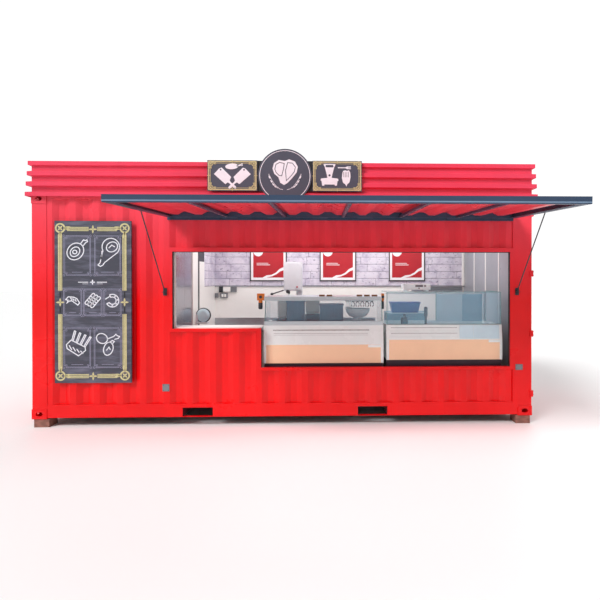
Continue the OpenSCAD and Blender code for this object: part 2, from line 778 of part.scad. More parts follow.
module left_glass() {
  x = [left_case_x + 6, left_case_x + left_case_w - 6];
  z = [case_top_z, canopy_z];
  rear = case_y1 - 90;
  translate([x[0], 0, 0]) rotate([90, 0, 90]) difference() {
    linear_extrude(height = x[1] - x[0])
      polygon([[left_glass_y(z[0]), z[0]], [rear, z[0]], [rear, z[1]], [left_glass_y(z[1]), z[1]]]);
    translate([0, 0, glass_t]) linear_extrude(height = x[1] - x[0] - 2 * glass_t)
      polygon([[left_glass_y(z[0]) + glass_t, z[0] - 1], [rear + 1, z[0] - 1], [rear + 1, z[1] + 1],
               [left_glass_y(z[1]) + glass_t, z[1] + 1]]);
  }
}

module right_glass() {
  x = [right_case_x + 6, right_case_x + right_case_w - 6];
  y = [case_y0 + slope_in + 4, case_y1 - 90];
  z = [case_top_z, case_top_z + right_glass_h];
  difference() {
    span(x, y, z);
    span([x[0] + glass_t, x[1] - glass_t], [y[0] + glass_t, y[1] + 1], [z[0] - 1, z[1] - glass_t]);
  }
}

// Steel canopy over the left case
module case_canopy() placed("#9a9ca0")
  span([left_case_x - 10, left_case_x + left_case_w - 8], [left_glass_y(canopy_z), case_y1 - 60],
       [canopy_z, canopy_z + canopy_h]);

// Orange clamps with black knobs at the ends of the canopy
module case_clamps() placed("#e8862a")
  for (s = [-1, 1]) translate([s < 0 ? left_case_x - 10 : left_case_x + left_case_w - 8, 0, 0]) {
    y0 = left_glass_y(canopy_z) + 10;
    translate([s < 0 ? -90 : 0, y0, canopy_z + 4]) cube([s < 0 ? 90 : 34, 70, 86]);
    translate([s < 0 ? -50 : 17, y0 + 35, canopy_z - 100]) cylinder(d = s < 0 ? 50 : 30, h = 106, $fn = 32);
  }

// ---- Machines ----

// Band saw for bones: cabinet, table, column, wheel housing and blade
module bone_saw() placed("#e3e6ea") translate([saw_x, saw_y, 0]) {
  w = saw_head_w;
  span([-120, w + 110], [-60, 440], [floor_top, saw_table_z - 35]);
  span([-160, w + 150], [-110, 470], [saw_table_z - 36, saw_table_z]);
  span([w - 84, w], [60, 300], [saw_table_z - 1, saw_head_z + 1]);
  span([0, w], [0, 300], [saw_head_z, saw_top_z]);
  span([60, 76], [148, 150], [saw_table_z - 1, saw_head_z + 1]);
}

module scale_display() placed("#f2f4f5") {
  z = case_top_z + right_glass_h;
  x = right_case_x + 245;
  span([x, x + 350], [330, 520], [z + 20, z + 95]);
  for (dx = [20, 290]) span([x + dx, x + dx + 40], [360, 490], [z, z + 21]);
}

timber_blocks();
corner_castings();
bottom_side_rails();
end_rails();
floor_frame();
floor_deck();
corner_posts();
top_side_rails();
roof_panel();
front_wall_left();
front_wall_under_window();
front_wall_under_counter();
front_wall_over_hatch();
rear_wall();
left_end_wall();
cargo_doors();
cargo_door_gear();
hatch_uprights();
hatch_rails();
parapet_front();
parapet_rear();
parapet_ends();
parapet_posts();
sign_backing();
sign_boards();
menu_board();
flap_header();
flap_frame();
flap_skin();
flap_end_fittings();
stay_left();
stay_right();
stay_catches();
service_plates();
left_partition();
right_lining();
ceiling_lining();
rear_lining_stone();
rear_lining_white();
posters();
rear_worktop();
window_shelf();
case_plinths();
case_fronts();
case_tubs();
case_glass();
case_canopy();
case_clamps();
bone_saw();
scale_display();
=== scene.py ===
import math
import random

import bmesh
import bpy
from bpy.props import FloatProperty, FloatVectorProperty, IntProperty, PointerProperty
from mathutils import Euler, Matrix, Vector


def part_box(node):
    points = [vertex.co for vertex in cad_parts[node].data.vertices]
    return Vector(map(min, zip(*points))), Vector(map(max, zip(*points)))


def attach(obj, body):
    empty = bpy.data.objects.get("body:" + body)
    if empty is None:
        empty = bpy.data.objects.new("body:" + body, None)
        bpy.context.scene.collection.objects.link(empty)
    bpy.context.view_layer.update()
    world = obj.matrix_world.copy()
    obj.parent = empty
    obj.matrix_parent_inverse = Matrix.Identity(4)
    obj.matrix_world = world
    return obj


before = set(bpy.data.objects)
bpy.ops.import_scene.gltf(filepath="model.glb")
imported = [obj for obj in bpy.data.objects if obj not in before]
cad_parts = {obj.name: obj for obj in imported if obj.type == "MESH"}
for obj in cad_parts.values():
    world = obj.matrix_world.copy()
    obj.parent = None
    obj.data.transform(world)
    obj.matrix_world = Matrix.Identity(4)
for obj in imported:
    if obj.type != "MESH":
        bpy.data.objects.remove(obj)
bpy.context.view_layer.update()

bl_info = {
    "name": "Container butcher shop",
    "version": (1, 0, 0),
    "blender": (4, 5, 0),
    "location": "View3D > Sidebar > Shop",
    "description": "Finishes and fittings of a butcher shop in a freight container",
    "category": "Object",
}

MM = 0.001
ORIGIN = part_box("corner_castings")[0]
# Heights of the room's floor and ceiling above that corner
ROOM_FLOOR, ROOM_TOP = 172, 2568


def at(x, y, z):
    """A place in millimetres from the lower left front corner of the container."""
    return ORIGIN + Vector((x, y, z)) * MM


def local(point):
    """A place in the frame as millimetres from that corner."""
    return (Vector(point) - ORIGIN) / MM


def span(node):
    """The box of a constructed part in millimetres from that corner."""
    low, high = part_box(node)
    return local(low), local(high)


def linear(hex_colour):
    """An sRGB hex colour as linear RGB with full alpha."""
    parts = [int(hex_colour[i:i + 2], 16) / 255 for i in (0, 2, 4)]
    return tuple(c / 12.92 if c <= 0.04045 else ((c + 0.055) / 1.055) ** 2.4 for c in parts) + (1.0,)


def shade(colour, factor):
    """The same colour, darker or lighter."""
    return tuple(min(1.0, c * factor) for c in colour[:3]) + (1.0,)


# ---------------------------------------------------------------- settings


def tint(name, description, hex_colour):
    """A colour setting."""
    return FloatVectorProperty(name=name, description=description, subtype="COLOR", size=4, min=0.0,
                               max=1.0, default=linear(hex_colour))


def length(name, description, value):
    """A length setting in metres."""
    return FloatProperty(name=name, description=description, unit="LENGTH", subtype="DISTANCE",
                         min=0.0, default=value)


class ShopColours(bpy.types.PropertyGroup):
    """Colours of the shop's finishes."""
    enamel: tint("Container enamel", "Gloss red of the container's shell", "E4060C")
    # The parapet has the container's red paint; its pinker colour is a painted highlight where it faces up
    # to the light
    parapet: tint("Parapet enamel and painted highlight", "Gloss red of the ribbed parapet", "E8415C")
    flap: tint("Flap paint", "Blue-grey of the flap's tubes and hinges", "33435A")
    charcoal: tint("Sign charcoal", "Ground colour of the signs", "4A4D5C")
    chalkboard: tint("Chalkboard", "Ground colour of the menu board", "3A3B47")
    gold: tint("Sign gold", "Colour of the ornamental borders", "C9BF8E")
    chalk: tint("Chalk white", "Colour of the drawn pictures", "E9EAF2")
    peach: tint("Case peach", "Front panels of the display cases", "FFD6B0")
    stone: tint("Stone white", "Stones of the rear wall panel", "D9D4E0")


class ShopSizes(bpy.types.PropertyGroup):
    """Sizes of the shop's fittings."""
    relief: length("Sign relief", "Height of the sign pictures above the boards", 2.5 * MM)
    chalk_line: length("Chalk line", "Width of the drawn lines on the menu board", 11 * MM)
    course: length("Stone course", "Height of one course of the stone panel", 0.118)
    joint: length("Stone joint", "Width of the joints between the stones", 5 * MM)
    bolt: length("Bolt size", "Width over the head of the fixing bolts", 17 * MM)
    rivets: IntProperty(name="Rivets", description="Rivets along each rafter of the flap",
                        default=9, min=2, max=40)


# ---------------------------------------------------------------- materials


def add(tree, kind, inputs=None, **settings):
    """Adds a node, gives it its settings and sets or links its inputs."""
    made = tree.nodes.new(kind)
    for key, value in settings.items():
        setattr(made, key, value)
    for key, value in (inputs or {}).items():
        if isinstance(value, bpy.types.NodeSocket):
            tree.links.new(value, made.inputs[key])
        else:
            made.inputs[key].default_value = value
    return made


def material(name):
    """An empty node material."""
    made = bpy.data.materials.new(name)
    made.use_nodes = True
    made.node_tree.nodes.clear()
    return made, made.node_tree


def close(tree, inputs):
    """Ends a material in a Principled shader with these inputs."""
    shader = add(tree, "ShaderNodeBsdfPrincipled", inputs)
    add(tree, "ShaderNodeOutputMaterial", {"Surface": shader.outputs["BSDF"]})


def place(tree, scale, rotation=(0, 0, 0)):
    """The object's own coordinates, scaled and turned."""
    own = add(tree, "ShaderNodeTexCoord").outputs["Object"]
    return add(tree, "ShaderNodeMapping", {"Vector": own, "Scale": scale,
                                           "Rotation": rotation}).outputs["Vector"]


def noise(tree, size, stretch=(1, 1, 1), detail=4.0):
    """Noise whose patches have this real size in metres, drawn out along an axis by stretch."""
    return add(tree, "ShaderNodeTexNoise", {"Vector": place(tree, stretch), "Scale": 1 / size,
                                            "Detail": detail, "Roughness": 0.6}).outputs["Fac"]


def ramp(tree, value, low, high, to_low=0.0, to_high=1.0):
    """A value mapped from one range to another and held at its ends."""
    return add(tree, "ShaderNodeMapRange", {"Value": value, "From Min": low, "From Max": high,
                                            "To Min": to_low, "To Max": to_high}).outputs["Result"]


def blend(tree, factor, first, second):
    """A colour between two others."""
    mix = add(tree, "ShaderNodeMix", {"Factor": factor}, data_type="RGBA")
    for socket, colour in ((mix.inputs[6], first), (mix.inputs[7], second)):
        if isinstance(colour, bpy.types.NodeSocket):
            tree.links.new(colour, socket)
        else:
            socket.default_value = colour
    return mix.outputs[2]


def bump(tree, height, distance):
    """A normal bent by a height pattern of this depth in metres."""
    return add(tree, "ShaderNodeBump", {"Height": height, "Distance": distance}).outputs["Normal"]


# Heights in metres between which the enamel is painted paler and pinker as a highlight from above
HIGHLIGHT_HEIGHTS = (1.5, 2.9)


def enamel(name, colour, rough=0.25, wave=0.002, coat=0.12, top_highlight=0.0):
    """Sprayed enamel on rolled sheet: gloss with broad hollows that bend the reflections, slightly
    chalked patches, fine orange peel, and a paler pink tone towards the top as a painted highlight."""
    made, tree = material(name)
    patches = noise(tree, 0.7)
    streaks = noise(tree, 0.12, (1, 1, 0.15))
    base = blend(tree, ramp(tree, patches, 0.35, 0.7, 0.0, 0.6), colour, shade(colour, 0.78))
    base = blend(tree, ramp(tree, streaks, 0.55, 0.8, 0.0, 0.25), base, shade(colour, 1.3))
    # Painted highlight: the colour turns paler and pinker towards the top, where the light from above falls
    if top_highlight:
        height = add(tree, "ShaderNodeSeparateXYZ", {"Vector": place(tree, (1, 1, 1))}).outputs["Z"]
        base = blend(tree, ramp(tree, height, *HIGHLIGHT_HEIGHTS, 0.0, top_highlight), base, linear("F07088"))
    hollows = noise(tree, 0.35, detail=1.0)
    peel = bump(tree, noise(tree, 0.006, detail=1.0), 0.00004)
    bent = add(tree, "ShaderNodeBump", {"Height": hollows, "Distance": wave, "Normal": peel})
    close(tree, {"Base Color": base, "Roughness": ramp(tree, patches, 0.3, 0.75, rough, rough + 0.15),
                 "IOR": 1.5, "Specular IOR Level": 0.22, "Coat Weight": coat, "Coat Roughness": 0.07,
                 "Normal": bent.outputs["Normal"]})
    return made


def plain(name, colour, rough=0.45, grain=0.05, drift=0.9, metallic=0.0, depth=0.0,
          stretch=(1, 1, 1), specular=0.5):
    """A moulded, rolled or painted surface whose tone and gloss drift over patches of its grain."""
    made, tree = material(name)
    pattern = noise(tree, grain, stretch)
    inputs = {"Base Color": blend(tree, ramp(tree, pattern, 0.35, 0.68), colour, shade(colour, drift)),
              "Roughness": ramp(tree, pattern, 0.0, 1.0, max(0.05, rough - 0.08), rough + 0.1),
              "Metallic": metallic, "Specular IOR Level": specular}
    if depth:
        inputs["Normal"] = bump(tree, pattern, depth)
    close(tree, inputs)
    return made


def pane(name, colour, alpha):
    """Tempered glass: nearly clear and faintly coloured, with sharp reflections."""
    made, tree = material(name)
    base = blend(tree, noise(tree, 0.4), colour, shade(colour, 0.94))
    close(tree, {"Base Color": base, "Roughness": 0.03, "IOR": 1.5, "Alpha": alpha})
    return made


def softwood(name, colour):
    """Sawn softwood: year rings drawn out along the block and a fuzzy sawn face."""
    made, tree = material(name)
    rings = add(tree, "ShaderNodeTexWave", {"Vector": place(tree, (0.6, 6, 9)), "Scale": 4.0,
                                            "Distortion": 6.0, "Detail": 3.0}).outputs["Fac"]
    fuzz = noise(tree, 0.004, (0.2, 1, 1))
    base = blend(tree, ramp(tree, rings, 0.2, 0.9), shade(colour, 0.72), colour)
    close(tree, {"Base Color": base, "Roughness": 0.8, "Normal": bump(tree, fuzz, 0.0012)})
    return made


def brushed(name, colour, rough=0.3, axis=0):
    """Brushed stainless sheet: fine lines along one axis that draw the highlights out."""
    made, tree = material(name)
    stretch = tuple(0.012 if k == axis else 1.0 for k in range(3))
    # The real brush lines are 0.3 mm apart; 3 mm is the finest that shows at this size
    lines = noise(tree, 0.003, stretch, 2.0)
    cloud = noise(tree, 0.35)
    base = blend(tree, ramp(tree, cloud, 0.35, 0.7, 0.0, 0.5), colour, shade(colour, 0.8))
    close(tree, {"Base Color": base, "Metallic": 1.0,
                 "Roughness": ramp(tree, lines, 0.3, 0.7, rough - 0.06, rough + 0.12),
                 "Normal": bump(tree, lines, 0.00008)})
    return made


def cast_stone(name, colour):
    """Cast stone veneer: whitewashed faces with lavender-grey pits, chips and stains."""
    made, tree = material(name)
    stains = noise(tree, 0.16)
    pits = noise(tree, 0.028, (0.6, 1, 1), 6.0)
    base = blend(tree, ramp(tree, stains, 0.42, 0.7), colour, linear("B9B2C6"))
    base = blend(tree, ramp(tree, pits, 0.58, 0.68, 0.0, 0.85), base, linear("7F7890"))
    close(tree, {"Base Color": base, "Roughness": 0.75, "Normal": bump(tree, pits, 0.003)})
    return made


def chalkboard(name, colour):
    """Chalkboard laminate: matt slate wiped by hand, so that pale smears run across it."""
    made, tree = material(name)
    wiped = place(tree, (1.4, 1, 7), (0, math.radians(-38), 0))
    smear = add(tree, "ShaderNodeTexNoise", {"Vector": wiped, "Scale": 2.2, "Detail": 5.0,
                                             "Roughness": 0.62}).outputs["Fac"]
    base = blend(tree, ramp(tree, smear, 0.45, 0.8, 0.0, 0.55), colour, linear("84849A"))
    close(tree, {"Base Color": base, "Roughness": 0.65})
    return made


# Surfaces of plain(): name, colour or colour setting, roughness, grain, drift and the like
PLAIN = {
    "primer": ("iron oxide primer", "601622", (0.65, 0.1, 0.75), {}),
    "deck": ("sealed container plywood", "7B6B5C", (0.5, 0.02, 0.7), {"stretch": (0.06, 1, 1)}),
    "zinc": ("hot-dip galvanised steel", "A7ABAF", (0.42, 0.012, 0.75, 0.85), {}),
    "charcoal": ("satin charcoal composite panel", "charcoal", (0.45, 0.25, 0.86), {}),
    "black": ("satin black powder coat", "1D1E24", (0.45, 0.05, 0.85), {}),
    "dark": ("dark grey hammer paint", "2C3138", (0.4, 0.008, 0.75), {"depth": 0.0002}),
    "rubber": ("black EPDM seal", "17171A", (0.6, 0.02, 0.8), {}),
    "plate": ("grey cover plate paint", "76797E", (0.4, 0.03), {}),
    "white": ("white GRP wall cladding", "F4F3EF", (0.3, 0.6, 0.95), {}),
    "panel": ("pale grey GRP wall cladding", "9EA1A8", (0.3, 0.4, 0.88), {}),
    "mortar": ("grey mortar", "8E889C", (0.85, 0.015, 0.8), {"depth": 0.001}),
    "plinth": ("dark kick board laminate", "3A2333", (0.45, 0.1), {}),
    "peach": ("peach powder coat", "peach", (0.3, 0.5, 0.92), {}),
    "case": ("white powder coat", "F0FBFA", (0.25, 0.3, 0.97), {}),
    "edge": ("polished glass edge", "6F9C97", (0.15, 0.05), {}),
    "orange": ("orange moulded nylon", "DD7A22", (0.35, 0.02, 0.8), {}),
    "machine": ("white machine enamel", "DDE2E8", (0.3, 0.2, 0.93), {}),
    "gold": ("gold sign ink", "gold", (0.4, 0.03, 0.8), {}),
    "chalk": ("white chalk marker", "chalk", (0.8, 0.007, 0.72), {}),
    "faint": ("wiped lavender chalk", "9391A8", (0.8, 0.006, 0.7), {}),
    "sign_white": ("white sign vinyl", "ECEDF4", (0.4, 0.1, 0.95), {}),
    "print": ("red printed vinyl", "B8222E", (0.35, 0.25, 0.88), {}),
    "paper": ("white printed vinyl", "F2EFF2", (0.35, 0.2, 0.96), {}),
    "crate": ("blue-grey polypropylene", "5F7C97", (0.4, 0.08, 0.85), {}),
    "blue": ("blue polypropylene", "1450A8", (0.35, 0.05, 0.85), {}),
    "ice": ("pale blue acrylic sheet", "D2EEF8", (0.2, 0.3, 0.92), {}),
    "haze": ("blue tinted acrylic sheet", "9CC4DA", (0.25, 0.3, 0.9), {}),
    "cream": ("cream polyethylene", "D9D3C6", (0.4, 0.06, 0.9), {}),
    # Near-black painted shade that stands for the inside of an opening
    "painted_shade": ("dark opening", "121418", (0.9, 0.02, 0.8), {}),
    "wood": ("brown lacquered wood", "8F6A4A", (0.45, 0.02, 0.8), {"stretch": (0.1, 1, 1)}),
}


def finishes():
    """Every material of the object by its short name."""
    settings = bpy.context.scene.shop_colours

    def own(key):
        return tuple(getattr(settings, key))

    made = {key: plain(name, own(colour) if hasattr(settings, colour) else linear(colour), *sizes, **more)
            for key, (name, colour, sizes, more) in PLAIN.items()}
    made.update({
        # Fresh gloss red: the wall's hollows and ribs show as long soft highlights, and towards the top a
        # pinker painted highlight is laid into its colour
        "enamel": enamel("gloss enamel on corrugated steel", own("enamel"), top_highlight=0.4),
        # Flatter sheet with a cleaner sheen; its pinker colour is a painted highlight of the light from
        # above
        "parapet": enamel("coil-coated parapet sheet", own("parapet"), 0.32, 0.0008, 0.35),
        # Satin paint that hides the tube's weld marks
        "flap": enamel("satin paint on steel tube", own("flap"), 0.42, 0.0004, 0.15),
        # A painted reflection of the ground along the lower part of the flap's front tube
        "painted_reflection": enamel("pale paint line on steel tube", linear("71869E"), 0.4, 0.0002, 0.15),
        # The pine's own colour, darkened and reddened by painted shade and a painted red reflection from
        # the container above
        "timber": softwood("sawn pine", linear("8E5E52")),
        "board": chalkboard("chalkboard laminate", own("chalkboard")),
        "stone": cast_stone("cast stone veneer", own("stone")),
        "steel": brushed("brushed stainless steel", linear("C3C6CB")),
        "mirror": brushed("polished stainless cladding", linear("B7B5BF"), 0.16, 2),
        "glass": pane("tempered glass", linear("A6D8EC"), 0.18),
    })
    return made


NODE_FINISH = {
    "enamel": ["corner_castings", "bottom_side_rails", "end_rails", "corner_posts", "top_side_rails",
               "roof_panel", "front_wall_left", "front_wall_under_window",
               "front_wall_under_counter", "front_wall_over_hatch", "rear_wall", "left_end_wall",
               "cargo_doors", "cargo_door_gear", "hatch_uprights", "hatch_rails", "flap_skin"],
    "parapet": ["parapet_front", "parapet_rear", "parapet_ends"],
    "flap": ["flap_header", "flap_frame"],
    "primer": ["floor_frame", "parapet_posts"],
    "deck": ["floor_deck"],
    "timber": ["timber_blocks"],
    "charcoal": ["sign_boards"],
    "board": ["menu_board"],
    "black": ["sign_backing"],
    "dark": ["flap_end_fittings", "stay_left", "stay_right", "stay_catches"],
    "plate": ["service_plates"],
    "white": ["ceiling_lining", "rear_lining_white", "window_shelf", "left_partition"],
    "panel": ["right_lining"],
    "mortar": ["rear_lining_stone"],
    "steel": ["rear_worktop", "case_canopy"],
    "plinth": ["case_plinths"],
    "peach": ["case_fronts"],
    "case": ["case_tubs", "scale_display"],
    "glass": ["case_glass"],
    "orange": ["case_clamps"],
    "machine": ["bone_saw"],
    "paper": ["posters"],
}

FINISH = {}

# ---------------------------------------------------------------- shapes


class Face:
    """A plane to draw on: u runs right, v up and w out of it, in millimetres from a corner."""

    def __init__(self, corner, right, up):
        self.corner, self.right, self.up = corner, Vector(right), Vector(up)
        self.out = self.right.cross(self.up)

    def place(self, u, v, w):
        return self.corner + (self.right * u + self.up * v + self.out * w) * MM


def front_face(x, y, z):
    """A face that looks out of the container's front, from its lower left corner."""
    return Face(at(x, y, z), (1, 0, 0), (0, 0, 1))


def side_face(x, y, z):
    """A face that looks to the right, from its lower front corner."""
    return Face(at(x, y, z), (0, 1, 0), (0, 0, 1))


def corners(u0, v0, u1, v1):
    """The four corners of a rectangle, once round."""
    return [(u0, v0), (u1, v0), (u1, v1), (u0, v1)]


class Shape:
    """Collects the solids of one piece."""

    def __init__(self):
        self.mesh = bmesh.new()

    def hull_of(self, rings, closed=False):
        """Skins rings of corners, and caps both ends unless the rings close on themselves."""
        made = [[self.mesh.verts.new(p) for p in ring] for ring in rings]
        count = len(made[0])
        pairs = list(zip(made, made[1:] + made[:1])) if closed else list(zip(made, made[1:]))
        for a, b in pairs:
            for k in range(count):
                self.mesh.faces.new([a[k], a[(k + 1) % count], b[(k + 1) % count], b[k]])
        if not closed:
            self.mesh.faces.new(list(reversed(made[0])))
            self.mesh.faces.new(made[-1])

    def block(self, low, high, ease=0.0):
        """A box between two corners in millimetres, its upright edges eased."""
        (x0, y0, z0), (x1, y1, z1) = low, high
        e = ease
        ring = [(x0 + e, y0), (x1 - e, y0), (x1, y0 + e), (x1, y1 - e), (x1 - e, y1), (x0 + e, y1),
                (x0, y1 - e), (x0, y0 + e)] if e else corners(x0, y0, x1, y1)
        self.hull_of([[at(x, y, z) for x, y in ring] for z in (z0, z1)])

    def plate(self, face, outline, height, low=-0.4):
        """A flat shape on a face, raised by a height in millimetres."""
        self.hull_of([[face.place(u, v, w) for u, v in outline] for w in (low, height)])

    def bars(self, face, rects, height):
        """Rectangles (u0, v0, u1, v1) on a face."""
        for rect in rects:
            self.plate(face, corners(*rect), height)

    def stack(self, levels):
        """A box-like solid through level rectangles, each (x0, y0, x1, y1, z) in millimetres."""
        self.hull_of([[at(x, y, z) for x, y in corners(*rect)] for *rect, z in levels])

    def line(self, face, points, width, height, closed=False):
        """A raised line of one width along points on a face, mitred at its corners."""
        pts = [Vector(p) for p in points]
        count = len(pts)
        rings = []
        for k, point in enumerate(pts):
            before = point - pts[k - 1] if closed or k else pts[1] - point
            after = pts[(k + 1) % count] - point if closed or k < count - 1 else before
            a, b = before.normalized(), after.normalized()
            mean = a + b if (a + b).length > 0.3 else a
            side = Vector((-mean.y, mean.x)).normalized()
            reach = width / 2 / max(0.5, abs(side.dot(Vector((-a.y, a.x)))))
            left, right = point + side * reach, point - side * reach
            rings.append([face.place(q.x, q.y, w) for q, w in
                          ((left, -0.4), (right, -0.4), (right, height), (left, height))])
        self.hull_of(rings, closed)

    def rod(self, points, radius, sides=16, radii=None):
        """A round rod through points in metres, or with a radius of its own at each one."""
        rings = []
        for k, point in enumerate(points):
            along = (points[min(k + 1, len(points) - 1)] - points[max(k - 1, 0)]).normalized()
            first = along.cross(Vector((0, 0, 1)))
            first = first.normalized() if first.length > 0.05 else Vector((1, 0, 0))
            second = along.cross(first)
            r = (radii[k] if radii else radius) * MM
            rings.append([point + (first * math.cos(t) + second * math.sin(t)) * r
                          for t in turn(sides)])
        self.hull_of(rings)

    def turned(self, centre, profile, sides=40, axis="Z"):
        """A turned solid about an axis through a centre, from (radius, distance along) points."""
        spin = {"Z": Matrix.Identity(3), "Y": Euler((math.pi / 2, 0, 0)).to_matrix(),
                "X": Euler((0, math.pi / 2, 0)).to_matrix()}[axis]
        self.hull_of([[centre + spin @ Vector((r * math.cos(t), r * math.sin(t), h)) * MM
                       for t in turn(sides)] for r, h in profile])

    def piece(self, name, slot, finish, body="container", soft=0.0):
        """Makes the collected solids an object that rides on a body."""
        bmesh.ops.recalc_face_normals(self.mesh, faces=self.mesh.faces)
        if soft:
            sharp = [e for e in self.mesh.edges if e.is_manifold and e.calc_face_angle() > 0.6]
            bmesh.ops.bevel(self.mesh, geom=sharp, offset=soft * MM, segments=2, affect="EDGES",
                            profile=0.6, clamp_overlap=True)
        data = bpy.data.meshes.new(name)
        self.mesh.to_mesh(data)
        self.mesh.free()
        return settle(bpy.data.objects.new(name, data), finish, body)


def boxes(name, slot, finish, sizes, soft=0.0):
    """Makes boxes one piece. Each is given as block() takes it."""
    shape = Shape()
    for size in sizes:
        shape.block(*size)
    return shape.piece(name, slot, finish, soft=soft)


def sheets(name, slot, finish, face, rects, height, body="container"):
    """Makes raised rectangles on a face one piece."""
    shape = Shape()
    shape.bars(face, rects, height)
    return shape.piece(name, slot, finish, body)


def settle(obj, finish, body="container"):
    """Links a piece, gives it its finish, and lets it ride on its body."""
    bpy.context.scene.collection.objects.link(obj)
    obj.data.materials.clear()
    obj.data.materials.append(FINISH[finish])
    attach(obj, body)
    return obj


def turn(sides):
    """Angles once round."""
    return [2 * math.pi * k / sides for k in range(sides)]


def arc(u, v, radius, start, end, steps=10):
    """Points of an arc, its angles in degrees."""
    return [(u + radius * math.cos(math.radians(start + (end - start) * k / steps)),
             v + radius * math.sin(math.radians(start + (end - start) * k / steps)))
            for k in range(steps + 1)]


def oval(u, v, long, short, angle=0.0, steps=28):
    """Points of an ellipse, its long axis turned by an angle in degrees."""
    c, s = math.cos(math.radians(angle)), math.sin(math.radians(angle))
    return [(u + long * math.cos(t) * c - short * math.sin(t) * s,
             v + long * math.cos(t) * s + short * math.sin(t) * c) for t in turn(steps)]


def moved(points, u, v, scale=1.0, angle=0.0):
    """Points scaled, turned and moved."""
    c, s = math.cos(math.radians(angle)) * scale, math.sin(math.radians(angle)) * scale
    return [(u + p[0] * c - p[1] * s, v + p[0] * s + p[1] * c) for p in points]


def flipped(points):
    """Points mirrored left to right."""
    return [(-p[0], p[1]) for p in points]


def capsule(u0, v0, u1, v1, radius):
    """Outline of a straight sausage between two points."""
    angle = math.degrees(math.atan2(v1 - v0, u1 - u0))
    return (arc(u1, v1, radius, angle - 90, angle + 90, 8)
            + arc(u0, v0, radius, angle + 90, angle + 270, 8))


def fastener_row():
    """Node tree: a straight row of turned or many-sided heads, such as bolts, rivets or slots."""
    tree = bpy.data.node_groups.new("fastener row", "GeometryNodeTree")
    sockets = [("Start", "NodeSocketVector", (0, 0, 0)), ("End", "NodeSocketVector", (1, 0, 0)),
               ("Count", "NodeSocketInt", 4), ("Sides", "NodeSocketInt", 6),
               ("Width", "NodeSocketFloat", 0.017), ("Height", "NodeSocketFloat", 0.008),
               ("Turn", "NodeSocketVector", (0, 0, 0)), ("Stretch", "NodeSocketVector", (1, 1, 1)),
               ("Material", "NodeSocketMaterial", None)]
    for name, kind, value in sockets:
        made = tree.interface.new_socket(name=name, in_out="INPUT", socket_type=kind)
        if value is not None:
            made.default_value = value
    tree.interface.new_socket(name="Geometry", in_out="OUTPUT", socket_type="NodeSocketGeometry")
    given = add(tree, "NodeGroupInput").outputs
    row = add(tree, "GeometryNodeMeshLine", {"Count": given["Count"], "Start Location": given["Start"],
                                             "Offset": given["End"]}, mode="END_POINTS")
    radius = add(tree, "ShaderNodeMath", {0: given["Width"], 1: 0.5}, operation="MULTIPLY")
    head = add(tree, "GeometryNodeMeshCylinder", {"Vertices": given["Sides"],
                                                  "Radius": radius.outputs[0],
                                                  "Depth": given["Height"]})
    placed = add(tree, "GeometryNodeInstanceOnPoints", {"Points": row.outputs["Mesh"],
                                                        "Instance": head.outputs["Mesh"],
                                                        "Rotation": given["Turn"],
                                                        "Scale": given["Stretch"]})
    real = add(tree, "GeometryNodeRealizeInstances", {"Geometry": placed.outputs["Instances"]})
    done = add(tree, "GeometryNodeSetMaterial", {"Geometry": real.outputs["Geometry"],
                                                 "Material": given["Material"]})
    add(tree, "NodeGroupOutput", {"Geometry": done.outputs["Geometry"]})
    return tree


def rows(name, finish, runs, body="container"):
    """Makes rows of fasteners one piece. Each run gives the row tree's inputs by name."""
    tree = bpy.data.node_groups.get("fastener row") or fastener_row()
    keys = {item.name: item.identifier for item in tree.interface.items_tree
            if item.in_out == "INPUT"}
    gathered = bmesh.new()
    for run in runs:
        carrier = bpy.data.objects.new("carrier", bpy.data.meshes.new("carrier"))
        bpy.context.scene.collection.objects.link(carrier)
        modifier = carrier.modifiers.new("row", "NODES")
        modifier.node_group = tree
        for key, value in dict(run, Material=FINISH[finish]).items():
            modifier[keys[key]] = tuple(value) if isinstance(value, Vector) else value
        graph = bpy.context.evaluated_depsgraph_get()
        gathered.from_mesh(bpy.data.meshes.new_from_object(carrier.evaluated_get(graph)))
        bpy.data.objects.remove(carrier)
    data = bpy.data.meshes.new(name)
    gathered.to_mesh(data)
    gathered.free()
    return settle(bpy.data.objects.new(name, data), finish, body)


# Turns of fasteners whose heads look out of the front and the cargo door end
FRONT = (math.pi / 2, 0.0, 0.0)
SIDE = (0.0, math.pi / 2, 0.0)


def fasteners(start, end, count, width, height, turned=FRONT, **more):
    """One row for rows(), its head sizes in millimetres."""
    return dict(more, Start=start, End=end, Count=count, Width=width * MM, Height=height * MM,
                Turn=turned)


# ---------------------------------------------------------------- menu board


def notched(u0, v0, u1, v1, notch):
    """A frame with its corners stepped inwards."""
    n = notch
    return [(u0 + n, v0), (u1 - n, v0), (u1 - n, v0 + n), (u1, v0 + n), (u1, v1 - n), (u1 - n, v1 - n),
            (u1 - n, v1), (u0 + n, v1), (u0 + n, v1 - n), (u0, v1 - n), (u0, v0 + n), (u0 + n, v0 + n)]


def petal(long, wide):
    """A pointed leaf that starts at the origin and runs along u."""
    return [(0, 0), (long * 0.35, wide / 2), (long * 0.7, wide * 0.36), (long, 0),
            (long * 0.7, -wide * 0.36), (long * 0.35, -wide / 2)]


def corner_rose(shape, face, u, v, radius, right, up, height):
    """A round corner ornament: a ring, a four-pointed star and leaves along both sides."""
    shape.line(face, oval(u, v, radius * 0.82, radius * 0.82), radius * 0.3, height, closed=True)
    for angle in (0, 90, 180, 270):
        shape.plate(face, moved(petal(radius * 0.6, radius * 0.3), u, v, 1, angle + 45), height)
    for angle in (0 if right > 0 else 180, 90 if up > 0 else 270):
        for lean in (-13, 13):
            shape.plate(face, moved(petal(radius * 1.3, radius * 0.42),
                                    u + radius * 0.7 * math.cos(math.radians(angle)),
                                    v + radius * 0.7 * math.sin(math.radians(angle)), 1, angle + lean),
                        height)


def rosette(shape, face, u, v, reach, height):
    """Four leaves in a cross."""
    for angle in (0, 90, 180, 270):
        shape.plate(face, moved(petal(reach, reach * 0.45), u, v, 1, angle), height)


